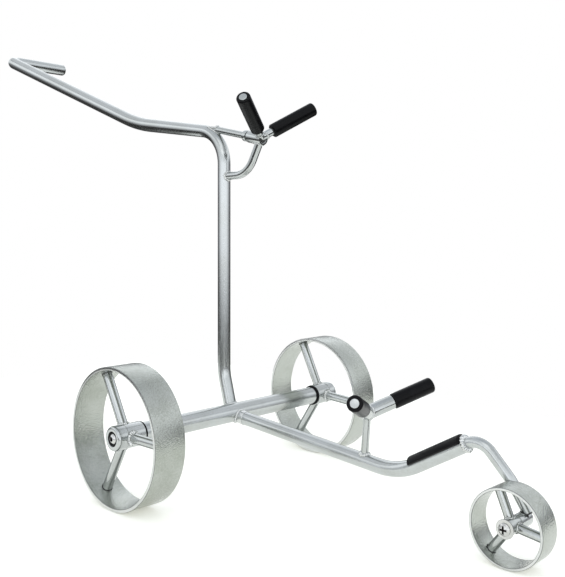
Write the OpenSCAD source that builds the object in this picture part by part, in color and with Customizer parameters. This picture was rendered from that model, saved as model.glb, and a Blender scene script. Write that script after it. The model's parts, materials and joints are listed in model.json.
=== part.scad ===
// Three-wheeled bottle rack shaped like a small hand cart.
// The bottle leans back: its base rests on the nose of the lower tube, its side on the lower
// cradle and its neck in the upper fork. X points forward, Y to the left, Z up, and the origin
// is on the floor under the middle of the rack.

/* [Rear wheels] */
// Outer diameter of a rear wheel
rear_wheel_d = 95; // [85:1:105]
// Width of a rear wheel's rim
rear_rim_w = 24; // [18:1:28]
// Wall thickness of a rear rim
rear_rim_t = 2.3; // [1.5:0.1:3]
// Distance between the outer faces of the two rear rims
track_w = 221.4; // [200:0.2:240]
// Diameter of a rear wheel's spokes
rear_spoke_d = 6.8; // [5:0.1:8]
// Outer diameter of a rear hub
rear_hub_d = 16.6; // [14:0.1:20]
// Turn of the right rear wheel's spokes about the axle
rear_right_phase = 0; // [-60:1:60]
// Turn of the left rear wheel's spokes about the axle
rear_left_phase = -4; // [-60:1:60]

/* [Front wheel] */
// Outer diameter of the front wheel
front_wheel_d = 44.6; // [40:0.2:50]
// Width of the front wheel's rim
front_rim_w = 16.7; // [14:0.2:20]
// Wall thickness of the front rim
front_rim_t = 1.7; // [1.2:0.1:2.5]
// Distance from the rear axle to the front axle
wheelbase = 234.1; // [220:0.1:250]
// Y position of the front rim's outer face, on the right of the middle plane
front_face_y = -16.7; // [-18:0.1:-15]
// Diameter of the front wheel's spokes
front_spoke_d = 5.5; // [3:0.1:7]
// Outer diameter of the front hub
front_hub_d = 9.2; // [8:0.1:11]
// Turn of the front wheel's spokes about its axle
front_phase = -8; // [-60:1:60]

/* [Axle] */
// Outer diameter of the tube between the rear wheels
axle_tube_d = 13.8; // [12:0.1:16]
// Diameter of the rod that the rear wheels turn on
axle_rod_d = 5; // [4:0.5:6]
// Radial clearance of every wheel bush on its shaft
running_gap = 0.05; // [0.02:0.01:0.08]
// Diameter of the black washers beside the rear hubs
washer_d = 16; // [14.5:0.1:17]
// Thickness of those washers
washer_t = 1.2; // [0.8:0.1:1.5]

/* [Frame tubes] */
// Outer diameter of the upright post and of the lower tube
post_d = 9.8; // [9:0.1:11]
// Outer diameter of the handle tube at the grip, where it is widest
grip_d = 11.6; // [10:0.1:12]
// Outer diameter of the handle tube at its shallow bend
elbow_d = 11; // [10:0.1:12]
// Wall thickness of the tubes
tube_wall = 1.2; // [1:0.1:2]
// Length of the grip from the middle plane to its closed end
grip_len = 62.5; // [50:0.5:80]
// Height of the grip's axis above the floor
grip_z = 364.3; // [350:0.1:375]
// Distance of the grip's axis behind the rear axle
grip_back = 348; // [330:1:360]
// Slope of the rising end of the lower tube
nose_slope = 29.25; // [25:0.25:33]
// Diameter of the rod that carries the front wheel
front_stay_d = 6.8; // [5:0.1:8]
// Diameter of the strut under the lower cradle
strut_d = 5; // [4:0.1:6]

/* [Cradles] */
// Diameter of the cradle arms
arm_d = 5.9; // [5:0.1:7]
// Outer diameter of the rubber sleeves on the arms
rubber_d = 10.3; // [9:0.1:12]
// Length of each upper arm, from the middle plane
neck_arm_len = 47.5; // [40:0.5:55]
// Bare length at the root of each upper arm
neck_arm_bare = 9.5; // [8:0.5:14]
// Length of each lower arm, from the middle plane
cradle_arm_len = 49.5; // [45:0.5:55]
// Length of the thick root of each lower arm
cradle_root_len = 19; // [14:0.5:24]
// Diameter of the rod that carries the upper fork
neck_rod_d = 5.2; // [4:0.1:6]
// Thickness of the rubber under the bottle's base
pad_t = 1.8; // [1:0.1:2.5]

/* [Hidden] */
$fn = 96;

steel = "#b9bcbf";
bright_steel = "#d5d7d9";
black_rubber = "#1c1c1e";
black_plastic = "#2a2a2c";

big = 400;      // longer than any part, for cutting halves away
cut = 1;        // how far a cutter passes its target
side_gap = 0.3; // gap between parts of different bodies
lap = 0.1;      // how far a straight run reaches into the bend that it meets
swell = 0.07;   // a bend's extra radius, which keeps that lap inside it

// Wheels
rear_r = rear_wheel_d / 2;
front_r = front_wheel_d / 2;
rear_rim_inner_r = rear_r - rear_rim_t;
front_rim_inner_r = front_r - front_rim_t;
rear_inner_y = track_w / 2 - rear_rim_w;
rear_mid_y = track_w / 2 - rear_rim_w / 2;
hub_r = rear_hub_d / 2;
hub_in_y = rear_inner_y + washer_t + side_gap;
hub_out_y = track_w / 2 - 0.6;
hub_round = 1.6;
rear_bush_r = 5;
rear_bush_recess = 1.2;
bore_r = axle_rod_d / 2 + running_gap;
rod_end_y = hub_out_y - rear_bush_recess + side_gap;
rear_head_r = 3.3;
rear_head_h = 1.9;
rear_shank_r = 1.5;
rear_shank_len = 12;
hex_key_r = 1.25;
hex_key_depth = 1.1;
rim_edge = 0.4;
spoke_angles = [0, 120, 240];

// Front axle: the shank of the screw is the shaft that the bush turns on
front_bush_r = 3.3;
front_shank_r = 2;
front_bore_r = front_shank_r + running_gap;
front_hub_in_y = front_face_y + front_rim_w - 4.4;
front_hub_out_y = front_face_y + 0.9;
front_washer_r = 5.4;
front_washer_t = 0.8;
front_head_r = 3.5;
front_head_h = 2;
boss_d = 8.8;
boss_in_y = front_hub_in_y + side_gap;
boss_out_y = 9.9;
boss_round = 2;
shank_in_boss = 10;
cross_w = 0.9;
cross_depth = 1.2;

// The rack is centred on X between the grip's back and the front wheel's front
front_x = wheelbase + front_r;
back_x = -grip_back - grip_d / 2;
axle_x = -(front_x + back_x) / 2;
axle_z = rear_r;

// Middle-plane points [x, z], with x measured from the rear axle
post_x = -12.2;
foot = [-4, axle_z];
knee = [post_x, 76];
shoulder = [post_x, 260.4];
elbow = [-123.7, 277.8];
grip_corner = [-grip_back, grip_z];
knee_bend = 40;
shoulder_bend = 28;
elbow_bend = 170;
grip_bend = 9;

lower_start = [0, 45.6];
lower_low = [151.8, 32.5];
lower_bend = 51;
nose_reach = 54.7;
nose = lower_low + nose_reach * [cos(nose_slope), sin(nose_slope)];
nose_collar_r = post_d / 2 + 0.5;
nose_collar_len = 3.2;
stay_top = [209.7, 64.9];
stay_low = [227.6, 42.3];
stay_end = [236.4, 25.5];
stay_top_bend = 11.3;
stay_low_bend = 40;
stay_twist = 7.9;  // sideways lean of the front stay, about the nose's axis

strut_foot = [124.2, 33];
cradle_apex = [127, 66.5];
cradle_dir = unit([22.4, -41.4, 15.9]);
cradle_root_d = 9.4;

neck_start = [-20, 263.8];
neck_end = [30.9, 252.3];
neck_sleeve_r = 4.6;
neck_sleeve_len = 15;
neck_collar_r = 4.2;
neck_collar_len = 3.4;
neck_collar_gap = 1.6;
neck_apex = [28.6, 254];
neck_dir = unit([19.3, -37, 23.4]);
curve_start = [-9, 227.3];
curve_knee = [14, 227.5];
curve_end = [29, 254.6];
curve_bend = 20;
curve_d = 5.9;

pad_arc = 150;
pad_start = 13;
pad_end_gap = 0.4;
pad_film = 0.15;  // layer of glue under the pad

// --- Geometry helpers -------------------------------------------------------------------

function unit(v) = v / norm(v);
function heading(a, b) = atan2(b.y - a.y, b.x - a.x);
function wrap(a) = a > 180 ? a - 360 : a <= -180 ? a + 360 : a;
function turn_at(p, i) = wrap(heading(p[i], p[i + 1]) - heading(p[i - 1], p[i]));
function is_inner(p, i) = i > 0 && i < len(p) - 1;
// Length that the bend at vertex i takes off each of its two straight runs
function trim(p, bends, i) = is_inner(p, i) ? bends[i] * tan(abs(turn_at(p, i)) / 2) : 0;

// Puts children, drawn from the rear axle's middle plane, in the rack's own frame
module placed() {
    translate([axle_x, 0, 0]) children();
}

// Children at the rear axle's height
module at_rear_axle() {
    placed() translate([0, 0, axle_z]) children();
}

// Children at the front axle
module at_front_axle() {
    placed() translate([wheelbase, 0, front_r]) children();
}

// Mirrors a right-hand part to the left
module left_side() {
    mirror([0, 1, 0]) children();
}

// A round bar along Y, from y1 to y2
module y_bar(y1, y2, r) {
    translate([0, y1, 0]) rotate([-90, 0, 0]) cylinder(h = y2 - y1, r = r);
}

// A straight or tapered bar between two middle-plane points
module plane_bar(a, b, r1, r2) {
    translate([a.x, 0, a.y])
        rotate([0, atan2(b.x - a.x, b.y - a.y), 0])
            cylinder(h = norm(b - a), r1 = r1, r2 = r2);
}

// A round bend at vertex p[i], in the middle plane
module plane_bend(p, bends, i, r) {
    arrive = heading(p[i - 1], p[i]);
    turn = turn_at(p, i);
    side = sign(turn);
    from = p[i] - trim(p, bends, i) * [cos(arrive), sin(arrive)];
    centre = from + bends[i] * side * [-sin(arrive), cos(arrive)];
    start = side > 0 ? arrive - 90 : arrive + 90 - abs(turn);
    rotate([90, 0, 0])
        translate([centre.x, centre.y, 0])
            rotate([0, 0, start])
                rotate_extrude(angle = abs(turn)) translate([bends[i], 0]) circle(r = r + swell);
}

// Distance from p[i] to where a straight run starts or ends: past its bend, less the lap
function run_end(p, bends, i) = is_inner(p, i) ? trim(p, bends, i) - lap : 0;

// A bar that follows middle-plane points p, bent to the radii in bends, r thick at each point
module plane_run(p, bends, r) {
    for (i = [0 : len(p) - 2]) {
        way = unit(p[i + 1] - p[i]);
        plane_bar(p[i] + way * run_end(p, bends, i), p[i + 1] - way * run_end(p, bends, i + 1),
            r[i], r[i + 1]);
    }
    for (i = [1 : len(p) - 2]) plane_bend(p, bends, i, r[i]);
}

// A bar from the middle-plane point at, along the unit vector dir, from distance s to e
module arm_bar(at, dir, s, e, r) {
    translate([at.x, 0, at.y])
        rotate([0, acos(dir.z), atan2(dir.y, dir.x)])
            translate([0, 0, s]) cylinder(h = e - s, r = r);
}

// Keeps only the right-hand half of its children
module right_half() {
    intersection() {
        children();
        translate([-big, -2 * big, -big]) cube([2 * big, 2 * big, 2 * big]);
    }
}

// Children in the frame of the lower tube's rising end: X along it, from the bend's vertex
module along_nose() {
    translate([lower_low.x, 0, lower_low.y]) rotate([0, -nose_slope, 0]) children();
}

// --- Frame ------------------------------------------------------------------------------

grip_way = unit(grip_corner - elbow);
handle_path = [foot, knee, shoulder, elbow, grip_corner - (grip_bend - lap) * grip_way];
handle_bends = [0, knee_bend, shoulder_bend, elbow_bend, 0];
handle_radii = [post_d, post_d, post_d, elbow_d, grip_d] / 2;

// The grip's bend and straight, thinned by inset for the bore
module grip_run(inset, end_y) {
    r = grip_d / 2 - inset;
    from = grip_corner - grip_bend * grip_way;
    translate([from.x, 0, from.y])
        rotate([0, -heading(elbow, grip_corner), 0])
            translate([0, grip_bend, 0])
                rotate([0, 0, -90])
                    rotate_extrude(angle = 90) translate([grip_bend, 0]) circle(r = r + swell);
    translate([grip_corner.x, 0, grip_corner.y]) y_bar(grip_bend - lap, end_y, r);
}

// The outside of the post and the bend above it, for cutting what is welded to them
module shoulder_cutter() {
    plane_bar(knee, shoulder - [0, trim(handle_path, handle_bends, 2) - lap],
        post_d / 2, post_d / 2);
    plane_bend(handle_path, handle_bends, 2, post_d / 2);
}

grip_plug_depth = 6;
grip_plug_dome = 2.2;
grip_tube_end = grip_len - grip_plug_dome;

module main_tube() {
    color(steel) placed() difference() {
        union() {
            plane_run(handle_path, handle_bends, handle_radii);
            grip_run(0, grip_tube_end);
        }
        plane_run(handle_path, handle_bends, [for (r = handle_radii) r - tube_wall]);
        grip_run(tube_wall, grip_tube_end + cut);
        translate([0, 0, axle_z]) y_bar(-cut * 20, cut * 20, axle_tube_d / 2);
    }
}

module grip_plug() {
    bore = grip_d / 2 - tube_wall;
    edge = grip_d / 2 - grip_plug_dome;
    color(steel) placed() translate([grip_corner.x, grip_tube_end, grip_corner.y])
        rotate([-90, 0, 0])
            rotate_extrude() {
                translate([0, -grip_plug_depth]) square([bore, grip_plug_depth]);
                square([edge, grip_plug_dome]);
                intersection() {
                    translate([edge, 0]) circle(r = grip_plug_dome);
                    square([grip_d, grip_d]);
                }
            }
}

module axle_tube() {
    end_y = rear_inner_y;
    color(steel) at_rear_axle() difference() {
        y_bar(-end_y, end_y, axle_tube_d / 2);
        y_bar(-end_y - cut, end_y + cut, axle_tube_d / 2 - tube_wall);
    }
}

axle_bush_len = 12;

module axle_bushes() {
    color(black_plastic) at_rear_axle() for (side = [0, 1]) mirror([0, side, 0])
        difference() {
            y_bar(-rear_inner_y, axle_bush_len - rear_inner_y, axle_tube_d / 2 - tube_wall);
            y_bar(-rear_inner_y - cut, axle_bush_len - rear_inner_y + cut, axle_rod_d / 2);
        }
}

module axle_rod() {
    color(bright_steel) at_rear_axle() difference() {
        y_bar(-rod_end_y, rod_end_y, axle_rod_d / 2);
        for (side = [0, 1]) mirror([0, side, 0])
            y_bar(-rod_end_y - cut, rear_shank_len - rod_end_y, rear_shank_r);
    }
}

lower_path = [lower_start, lower_low, nose];

module lower_tube() {
    color(steel) placed() difference() {
        plane_run(lower_path, [0, lower_bend, 0], [post_d, post_d, post_d] / 2);
        plane_run(lower_path, [0, lower_bend, 0], [for (i = [0 : 2]) post_d / 2 - tube_wall]);
        translate([0, 0, axle_z]) y_bar(-cut * 20, cut * 20, axle_tube_d / 2);
    }
}

module nose_collar() {
    half = nose_collar_len / 2;
    bevel = 0.8;
    color(bright_steel) placed() along_nose() translate([nose_reach, 0, 0])
        rotate([0, 90, 0]) difference() {
            rotate_extrude() polygon([
                [0, 0],
                [nose_collar_r - bevel, 0],
                [nose_collar_r, half - bevel / 2],
                [nose_collar_r, half + bevel / 2],
                [front_stay_d / 2 + bevel, nose_collar_len],
                [0, nose_collar_len],
            ]);
            translate([0, 0, -cut]) cylinder(h = nose_collar_len + 2 * cut, r = front_stay_d / 2);
        }
}

// The front stay leans by turning about the nose's axis
module nose_twist() {
    translate([nose.x, 0, nose.y])
        rotate(a = stay_twist, v = [cos(nose_slope), 0, sin(nose_slope)])
            translate([-nose.x, 0, -nose.y]) children();
}

module front_stay() {
    color(steel) placed() difference() {
        nose_twist() plane_run([nose, stay_top, stay_low, stay_end],
            [0, stay_top_bend, stay_low_bend, 0], [for (i = [0 : 3]) front_stay_d / 2]);
        translate([wheelbase, 0, front_r]) y_bar(boss_in_y, boss_out_y, boss_d / 2);
    }
}

boss_grub_r = 1.25;
boss_grub_len = 2;
boss_grub_y = -1;

module front_boss() {
    color(steel) at_front_axle() difference() {
        rotate([-90, 0, 0]) rotate_extrude() {
            translate([0, boss_in_y]) square([boss_d / 2, boss_out_y - boss_round - boss_in_y]);
            translate([0, boss_out_y - boss_round - cut])
                square([boss_d / 2 - boss_round, boss_round + cut]);
            translate([boss_d / 2 - boss_round, boss_out_y - boss_round]) circle(r = boss_round);
        }
        y_bar(boss_in_y - cut, boss_in_y + shank_in_boss, front_shank_r);
        translate([0, boss_grub_y, 0]) rotate([90, 0, 90]) cylinder(h = boss_d, r = boss_grub_r);
    }
}

module boss_grub_screw() {
    color(black_plastic) at_front_axle() translate([0, boss_grub_y, 0]) rotate([90, 0, 90])
        translate([0, 0, front_shank_r + 0.2]) difference() {
            cylinder(h = boss_grub_len - 0.2, r = boss_grub_r);
            translate([0, 0, boss_grub_len - 1]) cylinder(h = 2, r = 0.6, $fn = 6);
        }
}

module lower_strut() {
    color(steel) placed() difference() {
        plane_bar(strut_foot, cradle_apex, strut_d / 2, strut_d / 2);
        plane_run(lower_path, [0, lower_bend, 0], [post_d, post_d, post_d] / 2);
        for (side = [0, 1]) mirror([0, side, 0])
            arm_bar(cradle_apex, cradle_dir, -cut * 5, cradle_root_len, cradle_root_d / 2);
    }
}

module foot_pad() {
    length = nose_reach - pad_start - pad_end_gap;
    color(black_rubber) placed() along_nose() translate([pad_start, 0, 0])
        rotate([0, 90, 0]) rotate([0, 0, 180 - pad_arc / 2])
            rotate_extrude(angle = pad_arc)
                translate([post_d / 2 + pad_film, 0]) square([pad_t - pad_film, length]);
}

// --- Upper fork -------------------------------------------------------------------------

neck_way = unit(neck_end - neck_start);
sleeve_start = neck_end - neck_sleeve_len * neck_way;
collar_end = sleeve_start - neck_collar_gap * neck_way;
collar_start = collar_end - neck_collar_len * neck_way;

module neck_rod() {
    color(steel) placed() difference() {
        plane_bar(neck_start, neck_end, neck_rod_d / 2, neck_rod_d / 2);
        shoulder_cutter();
    }
}

// A ring on the neck rod between two middle-plane points
module neck_ring(a, b, r) {
    difference() {
        plane_bar(a, b, r, r);
        plane_bar(a - cut * neck_way, b + cut * neck_way, neck_rod_d / 2, neck_rod_d / 2);
    }
}

module neck_collar() {
    color(steel) placed() neck_ring(collar_start, collar_end, neck_collar_r);
}

module neck_sleeve() {
    color(steel) placed() neck_ring(sleeve_start, neck_end, neck_sleeve_r);
}

module curved_stay() {
    color(steel) placed() difference() {
        plane_run([curve_start, curve_knee, curve_end], [0, curve_bend, 0],
            [curve_d, curve_d, curve_d] / 2);
        plane_bar(knee, shoulder, post_d / 2, post_d / 2);
        plane_bar(sleeve_start - neck_way, neck_end + cut * 10 * neck_way,
            neck_sleeve_r, neck_sleeve_r);
    }
}

module neck_arm_right() {
    color(steel) placed() difference() {
        right_half() arm_bar(neck_apex, neck_dir, -cut * 6, neck_arm_len, arm_d / 2);
        plane_bar(sleeve_start, neck_end + cut * 10 * neck_way, neck_sleeve_r, neck_sleeve_r);
    }
}

module neck_rubber_right() {
    color(black_rubber) placed() difference() {
        arm_bar(neck_apex, neck_dir, neck_arm_bare, neck_arm_len, rubber_d / 2);
        arm_bar(neck_apex, neck_dir, 0, neck_arm_len + cut, arm_d / 2);
    }
}

module neck_arm_left() {
    left_side() neck_arm_right();
}

module neck_rubber_left() {
    left_side() neck_rubber_right();
}

// --- Lower cradle -----------------------------------------------------------------------

module cradle_arm_right() {
    color(steel) placed() right_half() {
        arm_bar(cradle_apex, cradle_dir, -cut * 5, cradle_root_len, cradle_root_d / 2);
        arm_bar(cradle_apex, cradle_dir, 0, cradle_arm_len, arm_d / 2);
    }
}

module cradle_rubber_right() {
    color(black_rubber) placed() difference() {
        arm_bar(cradle_apex, cradle_dir, cradle_root_len, cradle_arm_len, rubber_d / 2);
        arm_bar(cradle_apex, cradle_dir, 0, cradle_arm_len + cut, arm_d / 2);
    }
}

module cradle_arm_left() {
    left_side() cradle_arm_right();
}

module cradle_rubber_left() {
    left_side() cradle_rubber_right();
}

// --- Wheels -----------------------------------------------------------------------------

// A plain rim ring about Y, between y1 and y2, with broken edges
module rim_ring(y1, y2, r, t) {
    rotate([-90, 0, 0]) rotate_extrude() polygon([
        [r - t, y1],
        [r - rim_edge, y1],
        [r, y1 + rim_edge],
        [r, y2 - rim_edge],
        [r - rim_edge, y2],
        [r - t, y2],
    ]);
}

// Three round spokes about Y at height y, between the hub and the rim's inside
module spoke_set(y, d, from_r, to_r, phase) {
    translate([0, y, 0]) difference() {
        intersection() {
            for (a = spoke_angles) rotate([0, 90 - a - phase, 0]) cylinder(h = to_r + cut, r = d / 2);
            y_bar(-d, d, to_r);
        }
        y_bar(-d, d, from_r);
    }
}

// A hub about Y with a rounded outer edge at y1, bored to bore
module hub_body(y1, y2, r, bore, round) {
    rotate([-90, 0, 0]) difference() {
        rotate_extrude() {
            translate([bore, y1 + round]) square([r - bore, y2 - y1 - round]);
            translate([bore, y1]) square([r - round - bore, round + cut]);
            translate([r - round, y1 + round]) circle(r = round);
        }
        translate([0, 0, y1 - cut]) cylinder(h = y2 - y1 + 2 * cut, r = bore);
    }
}

module rear_rim_right() {
    color(steel) at_rear_axle()
        rim_ring(-track_w / 2, rear_rim_w - track_w / 2, rear_r, rear_rim_t);
}

module rear_spokes_right() {
    color(steel) at_rear_axle()
        spoke_set(-rear_mid_y, rear_spoke_d, hub_r, rear_rim_inner_r, rear_right_phase);
}

module rear_hub_right() {
    color(bright_steel) at_rear_axle()
        hub_body(-hub_out_y, -hub_in_y, hub_r, rear_bush_r, hub_round);
}

module rear_bush_right() {
    color(black_plastic) at_rear_axle() difference() {
        y_bar(rear_bush_recess - hub_out_y, -hub_in_y, rear_bush_r);
        y_bar(-hub_out_y, -hub_in_y + cut, bore_r);
    }
}

module rear_rim_left() {
    left_side() rear_rim_right();
}

module rear_spokes_left() {
    color(steel) at_rear_axle()
        spoke_set(rear_mid_y, rear_spoke_d, hub_r, rear_rim_inner_r, rear_left_phase);
}

module rear_hub_left() {
    left_side() rear_hub_right();
}

module rear_bush_left() {
    left_side() rear_bush_right();
}

module rear_washers() {
    color(black_rubber) at_rear_axle() for (side = [0, 1]) mirror([0, side, 0])
        difference() {
            y_bar(-rear_inner_y - washer_t, -rear_inner_y, washer_d / 2);
            y_bar(-rear_inner_y - 2 * cut - washer_t, cut - rear_inner_y, axle_rod_d / 2);
        }
}

// A button-head screw, its head outward along -Y from y, with a hexagon socket
module button_screw(y) {
    difference() {
        union() {
            rotate([90, 0, 0]) translate([0, 0, -y]) intersection() {
                cylinder(h = rear_head_h, r = rear_head_r);
                translate([0, 0, rear_head_h - 4.2]) sphere(r = 4.2);
            }
            y_bar(y - 0.01, y + rear_shank_len - side_gap, rear_shank_r);
        }
        rotate([90, 0, 0]) translate([0, 0, rear_head_h - hex_key_depth - y])
            cylinder(h = rear_head_h, r = hex_key_r, $fn = 6);
    }
}

module rear_screws() {
    color(bright_steel) at_rear_axle() for (side = [0, 1]) mirror([0, side, 0])
        button_screw(-rod_end_y);
}

module front_rim() {
    color(steel) at_front_axle()
        rim_ring(front_face_y, front_face_y + front_rim_w, front_r, front_rim_t);
}

module front_spokes() {
    color(steel) at_front_axle()
        spoke_set(front_face_y + front_rim_w / 2, front_spoke_d, front_hub_d / 2,
            front_rim_inner_r, front_phase);
}

module front_hub() {
    color(bright_steel) at_front_axle()
        hub_body(front_hub_out_y, front_hub_in_y, front_hub_d / 2, front_bush_r, 0.5);
}

module front_bush() {
    color(black_plastic) at_front_axle() difference() {
        y_bar(front_hub_out_y, front_hub_in_y, front_bush_r);
        y_bar(front_hub_out_y - cut, front_hub_in_y + cut, front_bore_r);
    }
}

module front_washer() {
    out_y = front_hub_out_y - side_gap;
    color(bright_steel) at_front_axle() difference() {
        y_bar(out_y - front_washer_t, out_y, front_washer_r);
        y_bar(out_y - 2 * cut, out_y + cut, front_shank_r);
    }
}

module front_screw() {
    seat = front_hub_out_y - side_gap - front_washer_t;
    color(bright_steel) at_front_axle() difference() {
        union() {
            rotate([90, 0, 0]) translate([0, 0, -seat]) intersection() {
                cylinder(h = front_head_h, r = front_head_r);
                translate([0, 0, front_head_h - 5.2]) sphere(r = 5.2);
            }
            y_bar(seat - 0.01, boss_in_y + shank_in_boss, front_shank_r);
        }
        for (a = [0, 90]) rotate([0, a + 20, 0])
            translate([-1.9, seat - front_head_h - cut, -cross_w / 2])
                cube([3.8, cut + cross_depth, cross_w]);
    }
}

main_tube();
grip_plug();
axle_tube();
axle_bushes();
axle_rod();
lower_tube();
nose_collar();
front_stay();
front_boss();
boss_grub_screw();
lower_strut();
foot_pad();
neck_rod();
neck_collar();
neck_sleeve();
curved_stay();
neck_arm_left();
neck_arm_right();
neck_rubber_left();
neck_rubber_right();
cradle_arm_left();
cradle_arm_right();
cradle_rubber_left();
cradle_rubber_right();
rear_washers();
rear_screws();
rear_rim_left();
rear_spokes_left();
rear_hub_left();
rear_bush_left();
rear_rim_right();
rear_spokes_right();
rear_hub_right();
rear_bush_right();
front_rim();
front_spokes();
front_hub();
front_bush();
front_washer();
front_screw();
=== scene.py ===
"""Builds a three-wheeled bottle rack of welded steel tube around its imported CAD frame."""

from __future__ import annotations

import json
import logging
import math
from dataclasses import dataclass, replace
from enum import Enum
from typing import Sequence

import bmesh
import bpy
import numpy as np
from mathutils import Matrix, Quaternion, Vector

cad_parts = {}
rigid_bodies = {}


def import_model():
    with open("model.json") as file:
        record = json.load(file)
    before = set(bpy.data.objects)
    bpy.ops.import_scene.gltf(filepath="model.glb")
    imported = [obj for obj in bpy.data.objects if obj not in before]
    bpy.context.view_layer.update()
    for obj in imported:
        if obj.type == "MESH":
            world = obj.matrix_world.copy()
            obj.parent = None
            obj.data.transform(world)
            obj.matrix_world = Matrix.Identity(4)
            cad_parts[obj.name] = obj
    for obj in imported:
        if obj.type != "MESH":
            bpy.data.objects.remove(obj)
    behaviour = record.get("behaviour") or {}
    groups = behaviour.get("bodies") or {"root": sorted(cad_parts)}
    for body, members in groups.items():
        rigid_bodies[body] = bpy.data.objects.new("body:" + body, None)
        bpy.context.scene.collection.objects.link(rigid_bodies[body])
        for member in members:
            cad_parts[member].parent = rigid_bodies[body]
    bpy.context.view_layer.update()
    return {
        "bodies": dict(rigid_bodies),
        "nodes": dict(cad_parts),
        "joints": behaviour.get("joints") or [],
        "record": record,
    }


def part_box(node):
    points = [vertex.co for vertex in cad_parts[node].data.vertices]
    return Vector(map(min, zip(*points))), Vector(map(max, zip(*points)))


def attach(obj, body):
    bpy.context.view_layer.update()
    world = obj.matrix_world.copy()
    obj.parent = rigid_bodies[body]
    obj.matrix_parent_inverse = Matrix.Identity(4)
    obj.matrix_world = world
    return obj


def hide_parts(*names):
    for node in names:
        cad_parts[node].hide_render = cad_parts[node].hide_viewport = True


LOG = logging.getLogger("bottle_rack")
MM = 0.001
FULL_TURN = 2 * math.pi
LEFTWARD = Vector((0, 1, 0))  # the rack's left, along both axles
BUMP_UNIT = 0.1  # mm, the depth of a bump height of 1
SHARP_EDGE = math.radians(38)  # edges sharper than this stay crisp
BEND_FACET = 3.0  # degrees of bend to each facet
SEAM_STEP = 0.05  # mm, how finely a joint's line is found
SEAM_POINTS = 40
JOINT_REACH = 14.0  # mm each way along a rod in which its joint lies
BEAD_STEP, BEAD_PITCH = 0.28, 1.15  # mm between a bead's rings, and between its ripples
BEAD_RIPPLE = 0.16  # a ripple's depth, as a share of the bead's girth
# Colour painted into screw recesses as painted shade inside the socket
RECESS_PAINTED_SHADE = (0.02, 0.018, 0.016)
WHITE = (1.0, 1.0, 1.0)

Colour = tuple[float, float, float]
Section = Sequence[tuple[float, float]]


class Body(Enum):
    """The rack's moving bodies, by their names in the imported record."""

    FRAME = "frame"
    REAR_LEFT = "rear_wheel_left"
    REAR_RIGHT = "rear_wheel_right"
    FRONT = "front_wheel"


class Slot(Enum):
    """The record's material slots."""

    SATIN = "satin_steel"
    RIM = "brushed_rim"
    BRIGHT = "bright_steel"
    SCREW = "polished_screw"
    RUBBER = "black_rubber"
    PLASTIC = "black_plastic"


class Drive(Enum):
    """The recess in a screw's head."""

    HEXAGON = "hexagon"
    CROSS = "cross"


# --- Node trees ---------------------------------------------------------------------------


class Sig:
    """A node's output socket that takes part in sums as a number does."""

    def __init__(self, wiring: Wiring, socket: bpy.types.NodeSocket) -> None:
        """Wraps one output socket of a tree."""
        self.wiring = wiring
        self.socket = socket

    def __add__(self, other: Sig | float) -> Sig:
        """This plus other."""
        return self.wiring.maths("ADD", self, other)

    def __radd__(self, other: float) -> Sig:
        """A number plus this."""
        return self.wiring.maths("ADD", other, self)

    def __sub__(self, other: Sig | float) -> Sig:
        """This less other."""
        return self.wiring.maths("SUBTRACT", self, other)

    def __rsub__(self, other: float) -> Sig:
        """A number less this."""
        return self.wiring.maths("SUBTRACT", other, self)

    def __mul__(self, other: Sig | float) -> Sig:
        """This times other."""
        return self.wiring.maths("MULTIPLY", self, other)

    def __rmul__(self, other: float) -> Sig:
        """A number times this."""
        return self.wiring.maths("MULTIPLY", other, self)

    def __truediv__(self, other: Sig | float) -> Sig:
        """This over other."""
        return self.wiring.maths("DIVIDE", self, other)

    def __rtruediv__(self, other: float) -> Sig:
        """A number over this."""
        return self.wiring.maths("DIVIDE", other, self)

    def cosine(self) -> Sig:
        """The cosine of this, taken in radians."""
        return self.wiring.maths("COSINE", self)

    def rise(self, low: float, high: float) -> Sig:
        """0 below low, 1 above high, and a smooth step between them."""
        return self.wiring.node(
            "ShaderNodeMapRange",
            {"interpolation_type": "SMOOTHSTEP"},
            {"Value": self, "From Min": low, "From Max": high},
        )


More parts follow.
